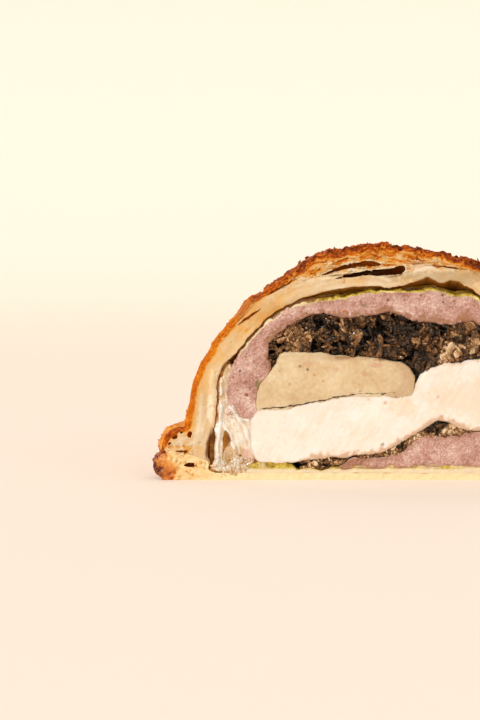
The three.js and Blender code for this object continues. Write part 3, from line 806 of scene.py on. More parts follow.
duxelles = duxelles_finish()


def keep_shape(shapes, mesh, smooth_below):
    mesh.shade_smooth()
    mesh.set_sharp_from_angle(angle=math.radians(smooth_below))
    shapes.objects.link(bpy.data.objects.new(mesh.name, mesh))


def chunk_shapes(name, count, detail, seed):
    """A handful of chopped shapes, each about 1 across: soft torn lumps, and bent rough strips."""
    shapes = bpy.data.collections.new(name)
    for n in range(count):
        body = bmesh.new()
        bmesh.ops.create_icosphere(body, subdivisions=detail, radius=0.62)
        random = np.random.default_rng(seed + n)
        points = np.array([v.co for v in body.verts])
        for _ in range(4):
            way = random.normal(size=3)
            way /= np.linalg.norm(way)
            points -= 0.8 * np.outer(np.maximum(points @ way - random.uniform(0.26, 0.46), 0), way)
        long, wide, thick = (1.5, 0.52, 0.44) if n % 2 else (1.15, 0.8, 0.56)
        points *= (long * random.uniform(0.85, 1.15), wide * random.uniform(0.8, 1.2), thick)
        points *= 1 + 0.42 * bumps(points * (0.6, 1, 1), 0.3, seed + 10 + n, 2)[:, None]
        bend = random.uniform(-0.8, 0.8) if n % 2 else 0.3
        points[:, 1] += bend * (points[:, 0] ** 2 - 0.2)
        for vert, place in zip(body.verts, points):
            vert.co = place
        mesh = bpy.data.meshes.new(f"{name}_{n}")
        body.to_mesh(mesh)
        body.free()
        reach = np.linalg.norm(points, axis=1)
        ridge = 0.22 * ease(reach, 0.35, 0.75) - 0.06
        mesh.attributes.new("ridge", "FLOAT", "POINT").data.foreach_set("value", ridge.astype(np.float32))
        keep_shape(shapes, mesh, 70)
    return shapes


class Tree(Nodes):
    """A Geometry Nodes tree with named inputs."""

    def __init__(self, name):
        self.group = bpy.data.node_groups.new(name, "GeometryNodeTree")
        self.group.interface.new_socket("Geometry", in_out="INPUT", socket_type="NodeSocketGeometry")
        self.group.interface.new_socket("Geometry", in_out="OUTPUT", socket_type="NodeSocketGeometry")
        super().__init__(self.group)
        self.source = self.nodes.new("NodeGroupInput")
        self.given = {}

    def input(self, name, kind, value):
        socket = self.group.interface.new_socket(name, in_out="INPUT", socket_type=f"NodeSocket{kind}")
        self.given[socket.identifier] = value
        return self.source.outputs[name]

    def random(self, seed, lowest, highest):
        """A random number, or a random vector, for each point."""
        vector = isinstance(lowest, tuple)
        first = 0 if vector else 2  # the node's inputs for numbers follow those for vectors
        limits = {f"_{first}": lowest, f"_{first + 1}": highest}
        kind = {"data_type": "FLOAT_VECTOR" if vector else "FLOAT"}
        return self.add("FunctionNodeRandomValue", kind, Seed=seed, **limits).outputs[0 if vector else 1]

    def read(self, mark):
        """A mark of the mesh that the shapes are strewn over."""
        return self.add("GeometryNodeInputNamedAttribute", {"data_type": "FLOAT"}, Name=mark).outputs[0]

    def grow(self, base, result, name):
        """The mesh that the tree makes from a base object, as an object of its own."""
        self.add("NodeGroupOutput", _0=result)
        modifier = base.modifiers.new(name, "NODES")
        modifier.node_group = self.group
        for identifier, value in self.given.items():
            modifier[identifier] = value
        seen = base.evaluated_get(bpy.context.evaluated_depsgraph_get())
        mesh = bpy.data.meshes.new_from_object(seen)
        base.modifiers.remove(modifier)
        grown_piece = bpy.data.objects.new(name, mesh)
        bpy.context.collection.objects.link(grown_piece)
        return grown_piece


def strew(base, name, shapes, finish, density, apart, smallest, largest, seed, spread, mark="tone",
          tilt=math.pi):
    """Strews shapes over a piece: as thick as its mark crowd says, as large as size says, tilted up to an
    angle. The mark that gives the shapes their colour is taken from the piece and varied by a spread."""
    tree = Tree(name)
    density_in = tree.input("Density per square metre", "Float", density * 1e6)
    apart_in = tree.input("Least distance", "Float", apart * MM)
    smallest_in = tree.input("Smallest", "Float", smallest * MM)
    largest_in = tree.input("Largest", "Float", largest * MM)
    seed_in = tree.input("Seed", "Int", seed)
    shapes_in = tree.input("Shapes", "Collection", shapes)
    spots = tree.add("GeometryNodeDistributePointsOnFaces", {"distribute_method": "POISSON"},
                     Mesh=tree.source.outputs["Geometry"], Distance_Min=apart_in, Density_Max=density_in,
                     Density_Factor=tree.read("crowd"), Seed=seed_in)
    size = tree.random(seed_in, smallest_in, largest_in)
    scale = tree.add("ShaderNodeMath", {"operation": "MULTIPLY"}, _0=size, _1=tree.read("size")).outputs[0]
    turn = tree.random(seed_in, (-tilt, -tilt, 0), (tilt, tilt, 2 * math.pi))
    turn = tree.add("FunctionNodeEulerToRotation", _0=turn).outputs[0]
    turned = tree.add("FunctionNodeRotateRotation", {"rotation_space": "LOCAL"},
                      _0=spots.outputs["Rotation"], _1=turn).outputs[0]
    kinds = tree.add("GeometryNodeCollectionInfo", Collection=shapes_in, Separate_Children=True,
                     Reset_Children=True).outputs[0]
    placed = tree.add("GeometryNodeInstanceOnPoints", Points=spots.outputs["Points"], Instance=kinds,
                      Pick_Instance=True, Rotation=turned, Scale=scale).outputs[0]
    varied = tree.random(seed_in, -spread, spread)
    tone = tree.add("ShaderNodeMath", {"operation": "ADD"}, _0=tree.read(mark), _1=varied).outputs[0]
    toned = tree.add("GeometryNodeStoreNamedAttribute", {"data_type": "FLOAT", "domain": "INSTANCE"},
                     Geometry=placed, Name=mark, Value=tone).outputs[0]
    real = tree.add("GeometryNodeRealizeInstances", Geometry=toned).outputs[0]
    finished = tree.add("GeometryNodeSetMaterial", Geometry=real, Material=finish)
    piece = tree.grow(base, finished.outputs[0], name)
    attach(piece, "root")
    return piece


chopped = chunk_shapes("chopped_bits", 8, 2, 200)
lumps = chunk_shapes("chopped_lumps", 6, 3, 220)
crumbs = chunk_shapes("crumbs", 8, 1, 200)


def zoned(flat, zones, plain):
    """A value at each point: plain, or what the zones say, each a middle, two half widths and a value."""
    value = np.full(len(flat), float(plain))
    uneven = 0.3 * bumps(flat, 2.2, 121, 2)
    for x, z, wide, high, there in zones:
        far = np.hypot((flat[:, 0] - x) / wide, (flat[:, 1] - z) / high) + uneven
        share = 1 - ease(far, 0.7, 1.2)
        value += (there - value) * share
    return value


def make_mushroom(name, node, strewn, recess, zones, plain, sizes, seed, well_shade, smooth, grow):
    """A core of mushroom set back from the cut, with the chopped pieces strewn over its front. Its tone
    follows the zones, with painted shade in its sunken wells, as strong as voids says, and in the cracks."""
    face = layer_face(node, 0.3, grow, smooth)
    _, flat, _, edge = face
    bent = flat + 0.4 * sway(flat, 1.6, seed + 3, 2)
    rim, number = chips(bent, 1.5, seed + 6)
    rim_fine, number_fine = chips(bent / (1.5, 1), 0.7, seed + 7)
    depth = recess * (1 + 0.5 * bumps(flat, 3.0, seed + 1, 2)) + 0.35 * number + 0.18 * number_fine
    depth += 0.45 * (1 - ease(rim, 0, 0.35)) + 0.2 * (1 - ease(rim_fine, 0, 0.3))
    tone = zoned(flat, zones, plain)
    wells = ease(-bumps(flat * (0.8, 1.2), 2.6, seed + 9, 2), 0.45, 0.75) * ease(edge, 0.6, 1.6)
    # Painted shade: the tone is darkened in the sunken wells.
    tone = tone - well_shade * wells + 0.26 * bumps(flat, 2.6, seed + 10, 2)
    hollows = ease(tone, 0.02, 0.16) * (1 - 0.8 * wells)
    depth += 1.6 * (1 - hollows)
    size = zoned(flat, sizes, 1) * (0.55 + 0.45 * ease(edge, 0.2, 1.4))
    # Painted shade: darker in the sunken cracks between chips.
    tone_here = tone - 0.10 + 0.12 * number + 0.08 * number_fine - 0.2 * (1 - ease(rim, 0, 0.3))
    marks = {"tone": tone_here, "crowd": 0.15 + 0.85 * hollows, "size": size, "ridge": np.zeros(len(flat))}
    shallow = 0.45 * recess + (depth - 0.45 * recess) * ease(edge, -0.3, 0.6)
    size *= 0.6 + 0.4 * ease(edge, 0.8, 2.4)
    core = layer_piece(name + "_core", node, duxelles, face, 0 * depth, marks, sunk=shallow)
    for part, (shapes, density, apart, smallest, largest) in strewn.items():
        piece = strew(core, f"{name}_{part}", shapes, duxelles, density, apart, smallest,
                      largest, seed, spread=0.34, tilt=0.9)
        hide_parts(node)


LOWER_ZONES = [
    (-27, 4.4, 2.4, 2.0, 0.62), (-20, 4.4, 2.0, 2.0, 0.62), (-10.5, 6.4, 1.6, 0.9, 0.54),
    (3.5, 9.8, 2.2, 2.2, 0.50), (14, 15.6, 3.2, 2.8, 0.36), (24, 13.2, 2.0, 1.4, 0.60),
]
LOWER_CHOPPED = {  # shapes, how many in each mm², least distance, and the smallest and largest size
    "chunks": (chopped, 0.6, 1.0, 1.0, 2.0), "bits": (chopped, 2.4, 0.43, 0.45, 1.15),
}
make_mushroom("mushroom_base", "duxelles_base", LOWER_CHOPPED, recess=0.55, zones=LOWER_ZONES, plain=0.86,
              sizes=[], seed=130, well_shade=0.15, smooth=0.7, grow=0.8)

# ---------------------------------------- the chicken breast
# Cream-coloured cooked meat, smooth on the cut with soft slanting fibres. It rises beside the foie gras on
# the right.


def breast_finish():
    f = Finish("cooked_breast", Roughness=0.42, Subsurface_Weight=0.22, Subsurface_Scale=0.002,
               Subsurface_Radius=(1.0, 0.7, 0.45))
    fibres = f.noise(1, 3, 0.5, f.stretched((0.9, 3.0, 3.6), (0, math.radians(-30), 0)), 1.0)
    clouds = f.noise(6, 3)
    tint = f.total(f.span(fibres, 0.2, 0.8, 0.34, 0.68), f.swing(clouds, 0.14))
    colour = f.ramp(tint, [
        (0.15, (246, 218, 190)), (0.38, (249, 230, 211)), (0.55, (251, 237, 223)), (0.85, (254, 245, 236)),
    ])
    colour = f.mix(f.mark("brown"), colour, (206, 158, 112))
    relief = f.bump(f.noise(0.5, 3), 0.05, f.bump(fibres, 0.12))
    return f.done(f.paint(colour), f.span(clouds, 0.3, 0.7, 0.46, 0.34), relief)


breast = breast_finish()
ORANGE_SPECK = (214, 140, 84)
BREAST_SPOTS = [
    (14.7, 25.2, 0.8, 0.5, ORANGE_SPECK, 0.5), (-1.2, 23.4, 0.6, 0.5, ORANGE_SPECK, 0.6),
    (-6.3, 24.3, 0.6, 0.4, ORANGE_SPECK, 0.6), (-2.1, 10.8, 0.5, 0.4, (150, 120, 96), 0.7),
    (33.0, 24.0, 0.6, 0.5, ORANGE_SPECK, 0.5), (40.5, 12.0, 0.7, 0.5, ORANGE_SPECK, 0.5),
    (26.0, 25.0, 15.0, 7.0, (246, 212, 176), 0.45), (4.0, 22.0, 5.0, 2.4, (244, 206, 160), 0.4),
]


def distance_to(node, points, spacing):
    """How far each point of the cut face is from the border of a CAD node, in mm."""
    return nearest(points, evenly(cut_outlines(node)[0], spacing=spacing, closed=True))[0]


def make_breast():
    face = layer_face("chicken_breast", 0.36)
    _, flat, _, edge = face
    slant = flat @ np.array([[0.87, 0.5], [-0.5, 0.87]])
    depth = 0.30 * bumps(flat, 11, 141) + 0.06 * bumps(slant / (1, 5), 1.3, 143, 2)
    depth += 0.05 * bumps(flat, 0.8, 144, 2)
    brown = 0.35 * (1 - ease(edge + 0.3 * bumps(flat, 1.2, 146), 0, 0.6))
    mushrooms = distance_to("duxelles_base", flat, 0.4)
    brown = np.maximum(brown, 0.8 * (1 - ease(mushrooms + 0.9 * bumps(flat, 1.3, 147, 3), 0.3, 1.6)))
    marks = {"brown": brown, "paint": painted(flat, BREAST_SPOTS)}
    layer_piece("breast", "chicken_breast", breast, face, depth, marks, sunk=0.02)


make_breast()

# ---------------------------------------- the foie gras
# Smooth beige liver with pink patches. A thin dark vein runs along its lower edge, and its right end is a
# rounded lobe of a deeper colour.

LIVER_VEIN = [
    (-39.0, 21.5), (-34.4, 21.9), (-24.8, 23.2), (-18.6, 24.6), (-9.6, 26.1), (-4.8, 26.2), (1.4, 26.5),
]
VEIN_SIDES = 6
PINK = (212, 156, 126)
LIVER_SPOTS = [
    (-7.5, 32.1, 0.9, 0.6, PINK, 0.75), (-3.8, 34.7, 2.4, 0.8, PINK, 0.7),
    (-11.3, 25.8, 0.9, 0.6, PINK, 0.7), (-16, 33.5, 1.1, 0.6, PINK, 0.5),
    (-24, 35.2, 2.0, 0.6, PINK, 0.4), (-1.9, 25.9, 0.5, 0.35, (60, 40, 28), 0.9),
    (1.5, 26.4, 0.35, 0.3, (70, 46, 30), 0.8), (1.8, 25.0, 0.35, 0.3, (70, 46, 30), 0.8),
    (-2.0, 37.0, 3.2, 1.0, (176, 120, 84), 0.7), (-14, 37.2, 3.0, 0.7, (150, 104, 66), 0.6),
    (-9.0, 26.9, 0.35, 0.2, (60, 40, 28), 0.8), (-20, 30, 0.45, 0.35, ORANGE_SPECK, 0.9),
    (-30, 29, 0.4, 0.35, ORANGE_SPECK, 0.9), (-27, 34.5, 0.5, 0.4, (150, 92, 60), 0.8),
    (-24.6, 33.4, 0.4, 0.4, (60, 36, 24), 0.8), (-22.5, 31.8, 0.4, 0.35, ORANGE_SPECK, 0.9),
    (-33, 33, 0.35, 0.25, ORANGE_SPECK, 0.6), (-9, 29, 0.3, 0.25, ORANGE_SPECK, 0.7),
]


def foie_finish():
    f = Finish("foie_gras", Roughness=0.4, Subsurface_Weight=0.25, Subsurface_Scale=0.002,
               Subsurface_Radius=(1.0, 0.65, 0.35))
    clouds = f.total(f.noise(7, 3), f.swing(f.noise(1.2, 4), 0.12))
    colour = f.ramp(clouds, [
        (0.24, (208, 174, 130)), (0.42, (219, 190, 146)), (0.6, (228, 203, 162)), (0.78, (238, 217, 180)),
    ])
    colour = f.mix(f.mark("brown"), colour, (172, 124, 80))
    colour = f.mix(f.specks(2.6, 0.16), colour, (206, 136, 84))
    relief = f.bump(f.noise(0.4, 3), 0.04, f.bump(f.noise(2.2, 3), 0.16))
    return f.done(f.paint(colour), f.span(f.noise(2.5, 3), 0.35, 0.65, 0.3, 0.5), relief)


foie = foie_finish()


def make_foie():
    face = layer_face("foie_gras", 0.3)
    _, flat, _, edge = face
    x, z = flat.T
    depth = 0.22 * bumps(flat, 9, 153) + 0.07 * bumps(flat, 1.6, 154, 2)
    lobe = ease(np.hypot((x + 2.5) / 7, (z - 31) / 6), 0.75, 1.0)
    lobe *= ease(x, -3, 1)
    near_top = 1 - ease(np.abs(z - 37.4) + 0.8 * bumps(flat, 2.5, 156), 0.4, 2.0)
    near_top *= 0.2 + 0.8 * ease(x, -24, -16)
    brown = 0.5 * near_top + 0.25 * lobe + 0.15 * ease(x, -6, 2)
    marks = {"brown": np.clip(brown, 0, 1), "paint": painted(flat, LIVER_SPOTS)}
    layer_piece("foie", "foie_gras", foie, face, depth, marks)
    return flat, cut_relief(flat) + depth * ease(edge, 0, 0.7)


liver_face = make_foie()


def fade_ends(count, length):
    """A column of shares that rise from 0 at each end of a line to 1 in its middle."""
    place = np.arange(count)
    return ease(np.minimum(place, place[::-1]), 0, length)[:, None]


def make_vein():
    """The dark vein, a thread of uneven thickness laid in the liver's cut."""
    path = rounded(np.array(LIVER_VEIN), closed=False)
    path = evenly(path, spacing=0.18)
    path += np.stack([0.15 * bumps(path, 0.9, 151), 0.28 * bumps(path, 1.3, 152, 2)], axis=1)
    flat, depth = liver_face
    at = depth[[int(np.argmin(np.hypot(*(flat - p).T))) for p in path]]
    thick = 0.14 + 0.09 * bumps(path, 0.7, 155, 2) - 0.09 * ease(path[:, 0], -14, -8)
    thick = np.maximum(thick * fade_ends(len(path), 8)[:, 0], 0.012)
    angles = np.linspace(0, 2 * math.pi, VEIN_SIDES + 1)[:-1]
    rings = [
        np.c_[x + 0 * angles, y + r * np.cos(angles), z + 1.3 * r * np.sin(angles)]
        for (x, z), y, r in zip(path, at, thick)
    ]
    points = np.vstack(rings)
    last = len(points) - VEIN_SIDES
    sides = [(a, (a + 1) % VEIN_SIDES) for a in range(VEIN_SIDES)]
    faces = []
    for n in range(0, last, VEIN_SIDES):
        faces += [(n + a, n + b, n + VEIN_SIDES + b, n + VEIN_SIDES + a) for a, b in sides]
    faces += [tuple(range(VEIN_SIDES))[::-1], tuple(range(last, len(points)))]
    marks = {"tone": 0.22 + 0.2 * bumps(points, 1.5, 157), "ridge": np.zeros(len(points))}
    finished_mesh("liver_vein", points, faces, marks, duxelles, [])


make_vein()

# ---------------------------------------- the mushrooms over the foie gras
# The thick upper layer: brown and fine at the left, big lumps round deep hollows in the middle that
# are painted black as shade, grey-black to the right of that, and a tan end with round pale pieces.

# Each zone: a middle, two half widths and a tone. The tone near 0 in the middle is painted shade in the
# deep hollow.
MUSHROOM_ZONES = [
    (-28, 42, 9, 7, 0.56), (-12, 46, 7, 5, 0.50), (-3, 43.5, 5, 2.6, 0.04), (9, 40, 9, 8, 0.34),
    (22, 38, 7, 5, 0.74), (26, 45, 5, 4, 0.56), (-14, 40, 5, 4, 0.48), (8, 31, 2.5, 4, 0.30),
    (-21, 47, 2, 2, 0.2), (24, 43, 2, 1.5, 0.9), (19.5, 39, 2, 1.6, 0.85),
]
MUSHROOM_SIZES = [(-28, 42, 9, 7, 0.8), (-3, 44, 10, 6, 1.1), (22, 38, 7, 5, 1.0)]
UPPER_CHOPPED = {
    "lumps": (lumps, 0.18, 1.8, 1.8, 3.4), "chunks": (chopped, 0.6, 1.0, 1.0, 2.4),
    "bits": (chopped, 3.0, 0.43, 0.45, 1.05),
}
make_mushroom("mushroom_top", "duxelles_top", UPPER_CHOPPED, recess=0.9, zones=MUSHROOM_ZONES, plain=0.40,
              sizes=MUSHROOM_SIZES, seed=160, well_shade=0.6, smooth=1.6, grow=0.55)

# ---------------------------------------- the pink farce over everything
# The thick pink layer that runs over the mushrooms and down the left side of the foie gras, with a few
# flecks of seasoning in it.

RED_BROWN = (150, 72, 44)
DARK_FLECK = (66, 34, 26)
FARCE_SPOTS = [
    (9.3, 55.8, 0.5, 0.4, RED_BROWN, 0.9), (19.2, 54.0, 0.5, 0.4, RED_BROWN, 0.9),
    (-13.5, 51.0, 0.8, 0.6, (196, 104, 56), 0.9), (-42.9, 25.8, 0.55, 0.5, RED_BROWN, 0.9),
    (-47.0, 31.2, 0.45, 0.4, RED_BROWN, 0.8), (-40.8, 36.0, 0.5, 0.45, RED_BROWN, 0.8),
    (-45.0, 33.0, 0.45, 0.5, DARK_FLECK, 0.8), (-42.0, 27.9, 0.4, 0.35, RED_BROWN, 0.8),
    (15.9, 55.8, 0.45, 0.35, DARK_FLECK, 0.9), (15.9, 53.7, 0.4, 0.35, DARK_FLECK, 0.9),
    (-0.6, 54.3, 0.45, 0.35, DARK_FLECK, 0.8), (-8.3, 52.8, 0.9, 0.5, (112, 116, 44), 0.7),
    (22.4, 49.5, 2.4, 1.9, (166, 112, 72), 0.75), (36.5, 46.0, 0.6, 0.5, RED_BROWN, 0.8),
    (44.0, 38.0, 0.5, 0.5, DARK_FLECK, 0.7), (-39.8, 28.6, 0.6, 1.9, (122, 118, 52), 0.8),
    (30.0, 50.0, 0.5, 0.4, RED_BROWN, 0.8),
]


def make_farce_top():
    face = layer_face("farce_top", 0.27, overlap=0.45, ragged=0.22)
    border, flat, _, _ = face
    mushrooms = distance_to("duxelles_top", flat, 0.4)
    near = mushrooms + 0.9 * bumps(flat, 0.8, 171, 3) + 0.6 * bumps(flat, 2.6, 172)
    brown = 0.85 * (1 - ease(near, 0.2, 1.3)) + 0.3 * ease(flat[:, 0], 24, 44)
    marks = {"brown": np.clip(brown, 0, 1), "paint": painted(flat, FARCE_SPOTS)}
    layer_piece("upper_farce", "farce_top", farce, face, farce_depth(flat), marks, sunk=-0.06)
    return border


farce_border = make_farce_top()

# ---------------------------------------- the cabbage leaf over the filling
# A thin leaf wraps the whole filling. On the cut it is a narrow folded line of yellow-green that turns
# whitish at both ends.


def make_leaf_top():
    face = layer_face("cabbage_top", 0.24, 0.22)
    _, flat, _, _ = face
    x = flat[:, 0]
    under, _ = nearest(flat, farce_border)
    left = ease(-x, 17, 23)
    droop = 0.75 - 0.35 * left + 0.35 * bumps(flat, 2.6, 185, 2)
    hidden = ease(under, droop, droop + 0.55)
    depth = 0.15 * bumps(flat, 2.4, 181, 2) + 0.12 * bumps(flat, 0.8, 182, 2)
    pale = np.maximum(ease(-x, 20, 28), ease(x, 34, 46))
    pale = np.maximum(pale, 0.5 * (1 - ease(under, 0.1, 0.5)))
    # Painted shade: at the left the hidden edge is painted golden-brown, as the shaded gap under the dough
    # looks.
    paint = painted(flat, [])
    paint[:, :3] = rgb(150, 92, 30)
    paint[:, 3] = 0.9 * left * hidden
    marks = {"pale": 0.75 * pale, "shade": 0.9 * hidden, "paint": paint}
    sunk = 0.08 + (2.4 - 1.6 * left) * hidden
    layer_piece("leaf_top", "cabbage_top", leaf, face, depth, marks, sunk=sunk)


make_leaf_top()

# ---------------------------------------- the thick ribs of the cabbage
# Thick wet ribs and folds of leaf fill the space between the farce and the dough at both sides: whitish,
# glassy and full of bright highlights.


def rib_finish():
    f = Finish("cabbage_rib", Roughness=0.2, Subsurface_Weight=0.35, Subsurface_Scale=0.0014,
               Subsurface_Radius=(1.0, 0.85, 0.6), Coat_Weight=0.6, Coat_Roughness=0.06)
    strands = f.noise(1, 3, 0.55, f.stretched((1.3, 3, 4.2), (0, 0.15, 0)), 1.0)
    colour = f.ramp(f.total(strands, f.swing(f.noise(2.6, 3), 0.16)), [
        (0.20, (204, 164, 112)), (0.38, (226, 198, 158)), (0.54, (238, 222, 198)), (0.76, (252, 246, 238)),
    ])
    # Where the brown mark says: a little browner at the edges, and painted golden-brown shade in the gap
    # by the dough.
    colour = f.mix(f.mark("brown"), colour, (222, 150, 56))
    relief = f.bump(f.noise(0.8, 3), 0.16, f.bump(strands, 0.45))
    return f.done(f.paint(colour), f.span(f.noise(1.2, 3), 0.35, 0.65, 0.1, 0.34), relief)


rib = rib_finish()
CARAMEL = (176, 106, 44)
RIB_SPOTS = [
    (-49.0, 12.3, 1.3, 2.7, (150, 102, 44), 0.9), (-47.8, 7.8, 2.5, 3.2, (206, 164, 106), 0.75),
    (-42.6, 7.6, 2.6, 2.8, (226, 184, 160), 0.75), (-47.6, 20.8, 2.2, 1.5, (230, 194, 180), 0.6),
    (-50.0, 29.0, 2.5, 8.0, (204, 168, 118), 0.6), (53.0, 22.0, 4.0, 5.5, CARAMEL, 0.75),
    (50.0, 12.0, 3.5, 5.0, CARAMEL, 0.6), (56.0, 30.0, 2.0, 3.0, (120, 118, 50), 0.7),
    (48.6, 24.5, 1.0, 3.6, (84, 48, 26), 0.85), (57.0, 15.0, 1.6, 4.0, (120, 66, 30), 0.7),
]
RIB_FOLDS = [  # lines along which the soft leaf stands up in a white pleat
    [(-51.2, 24.0), (-51.0, 17.0), (-51.8, 11.0), (-52.0, 5.0)],
    [(-50.6, 17.5), (-48.0, 13.5), (-46.6, 9.0), (-46.6, 6.0)],
    [(-48.8, 24.5), (-46.0, 19.5), (-43.5, 15.5), (-41.5, 10.0)],
    [(-45.5, 20.5), (-42.6, 18.0), (-41.0, 15.0)],
    [(-50.6, 40.0), (-51.0, 33.0), (-50.8, 26.0)],
    [(49.5, 8.0), (51.5, 18.0), (53.0, 30.0)],
    [(55.0, 8.0), (56.5, 18.0), (55.0, 27.0)],
]
PLEAT_WHITE = (255, 250, 242)


def make_rib(node):
    """A rib, set back where it leans away from the dough and painted golden-brown there as shade of the
    gap, with crumbs of the filling over its foot.
    """
    border, flat, faces, edge = layer_face(node, 0.26, 0.32)
    for line in (border, flat):
        low = ease(line[:, 1], 3.2, 6) * (1 - ease(line[:, 1], 11, 17)) * (line[:, 0] < 0)
        line[:, 0] += 1.5 * low * (1 - ease(distance_to("crust_lid", line, 0.3), 0, 5))
    face = (border, flat, faces, edge)
    x, z = flat.T
    dough = distance_to("crust_lid", flat, 0.3)
    gap = (1 - ease(dough + 0.3 * bumps(flat, 3, 196, 2), 0.7, 1.2)) * ease(z, 15, 19)
    depth = 0.4 * bumps(flat, 3.4, 191, 2) + 0.16 * bumps(flat / (0.8, 2.4), 1.4, 193, 2)
    window = ease(1.2 - np.hypot((x + 49.0) / 1.1, (z - 12.3) / 2.4), 0, 0.5)
    folds = [nearest(flat, evenly(np.array(fold), spacing=0.2))[0] for fold in RIB_FOLDS]
    pleat = 1 - ease(np.min(folds, axis=0) + 0.25 * bumps(flat, 1.6, 199, 2), 0.15, 0.95)
    depth -= 0.6 * pleat
    paint = painted(flat, RIB_SPOTS)
    white = 0.65 * pleat > paint[:, 3]
    paint[white, :3] = rgb(*PLEAT_WHITE)
    paint[:, 3] = np.maximum(paint[:, 3] * (1 - 0.6 * pleat), 0.65 * pleat)
    crowd = 1 - ease(z + bumps(flat, 2, 197), 5.5, 9)
    crowd += 0.6 * (1 - ease(np.abs(z - 21), 1, 2.5))
    # brown: a little browner at the edges, and painted shade in the gap by the dough.
    marks = {
        "brown": np.maximum(0.1 * (1 - ease(edge, 0, 0.5)), 0.9 * gap), "paint": paint,
        "crowd": np.clip(crowd, 0, 1) * (1 - gap), "size": np.ones(len(flat)),
    }
    sunk = 0.06 + 0.8 * gap + 0.8 * window
    flesh = layer_piece(node + "_flesh", node, rib, face, depth, marks, sunk=sunk)
    strew(flesh, node + "_crumbs", chopped, rib, density=1.0, apart=0.5, smallest=0.5,
          largest=1.7, seed=340, spread=0.5, mark="brown")


for node in ("cabbage_rib_left", "cabbage_fold_left", "cabbage_rib_right"):
    make_rib(node)

# ---------------------------------------- the cooking juices
# Golden juices fill the narrow gaps round the ribs, a little behind the cut, and shine in the hollow
# between them.

JUICES_LEFT = [
    (-54.2, 2.4), (-39.5, 2.4), (-41.0, 18.0), (-45.5, 33.0), (-49.5, 37.0), (-52.8, 32.0), (-54.2, 18.0),
]
JUICES_RIGHT = [
    (44.0, 2.4), (60.0, 2.4), (61.0, 12.0), (59.0, 30.0), (52.0, 42.0), (48.0, 38.0), (45.0, 20.0),
]
JUICES_DEPTH = 0.7  # behind the cut
JUICES_THICKNESS = 4.0


def juices_finish():
    f = Finish("cooking_juices", Roughness=0.2, Subsurface_Weight=0.4, Subsurface_Scale=0.002,
               Subsurface_Radius=(1.0, 0.6, 0.2), Specular_Tint=(1.0, 0.8, 0.5, 1))
    colour = f.ramp(f.noise(1.6, 4), [(0.3, (116, 62, 10)), (0.5, (164, 100, 26)), (0.7, (206, 150, 74))])
    return f.done(colour, f.span(f.noise(1.0, 3), 0.35, 0.65, 0.08, 0.3), f.bump(f.noise(0.8, 3), 0.3))


juices = juices_finish()


def make_juices(name, outline):
    border = rounded(evenly(np.array(outline), spacing=1.2, closed=True), rounds=1)
    flat, faces, _ = tiled(border, 0.6)
    x, z = flat.T
    low = ease(z, 3, 6) * (1 - ease(z, 12, 16)) * (1 - ease(x, -51.5, -50.5))
    cut = set_back(flat, JUICES_DEPTH + 2.2 * low + 0.35 * bumps(flat, 1.8, 198, 2))
    ring = set_back(border, np.full(len(border), JUICES_DEPTH + JUICES_THICKNESS))
    points, faces = walled(cut, faces.tolist(), range(len(border)), [ring])
    finished_mesh(name, points, faces, {}, juices, [])


make_juices("juices_left", JUICES_LEFT)
make_juices("juices_right", JUICES_RIGHT)

# ---------------------------------------- the lid
# The domed puff pastry lid. Its cut shows a thin dark skin, flaky layers with hollows and slits between
# them, and a smooth thick dough inside. Its outside is browned and blistered, with loose flakes, and its
# foot is pinched.

LID_FOOT_RIGHT = (60.6, 12.0)  # where the inside of the lid meets the underside of its foot
LID_FOOT_LEFT = (-54.6, 6.0)
BEAD_RIGHT = ((63.4, 23.8), (70.0, 14.6))  # where the pinched foot starts and ends
BEAD_LEFT = ((-61.8, 16.4), (-68.7, 8.3))
DOME_STOPS = 140  # points along the outside's profile: over the dome, round the bead and under it
BEAD_STOPS = 26
UNDER_STOPS = 12
SKIN_STEPS = (0.45, 0.95, 1.12)  # first and last step round the dome in mm, and how fast the steps grow
LID_CUT_SPACING = 0.235  # between points of the cut face
OUTER_SPACING = 0.15  # between points of the browned line, which is measured along
INNER_SPACING = 0.35  # and of the line round the inside
ARCH_MIDDLE = 10  # height of the point that the arch's degrees are counted round
DOUGH_AT = [0, 10, 30, 45, 60, 75, 90, 111, 141, 166, 180]  # degrees round the arch, from the right foot
DOUGH_THICKNESS = [4.6, 4.6, 4.8, 5.0, 3.8, 3.6, 3.1, 4.6, 5.6, 4.8, 4.6]
DOUGH_GOLD = [0.12, 0.12, 0.12, 0.12, 0.14, 0.10, 0.09, 0.13, 0.21, 0.11, 0.10]
# Dough paint: painted shade at the top right and in the gap low on the left, two painted highlights up the
# left, and the dough's own pale, golden and brown tints.
DOUGH_TINTS_SHADE_AND_HIGHLIGHTS = [
    (16.0, 61.0, 15.0, 2.2, (170, 140, 96), 0.5), (8.0, 64.6, 4.2, 1.6, (236, 214, 184), 0.7),
    (8.0, 65.3, 4.0, 0.5, (176, 122, 62), 0.8), (-40.0, 51.0, 9.0, 4.0, (206, 150, 84), 0.35),
    (-54.0, 10.6, 0.5, 4.4, (92, 44, 6), 0.9), (-53.9, 21.3, 0.9, 4.6, (254, 236, 206), 0.65),
    (-53.6, 28.0, 0.9, 6.0, (250, 226, 184), 0.4), (-25.5, 60.4, 4.5, 0.9, (240, 214, 176), 0.55),
    (-19.5, 61.0, 3.4, 0.6, (238, 212, 168), 0.8), (-13.5, 62.2, 3.4, 0.6, (238, 212, 168), 0.8),
    (-7.5, 63.2, 3.4, 0.55, (238, 212, 168), 0.8), (-1.5, 64.0, 3.4, 0.5, (230, 198, 146), 0.7),
]
CRAGS = [  # the lumps on top: place along the cut, width and height
    (-1.9, 2.2, 0.8), (2.2, 2.2, 0.6), (8.8, 1.2, 0.7), (-13.2, 1.2, 0.6), (15.3, 1.4, 0.5),
]
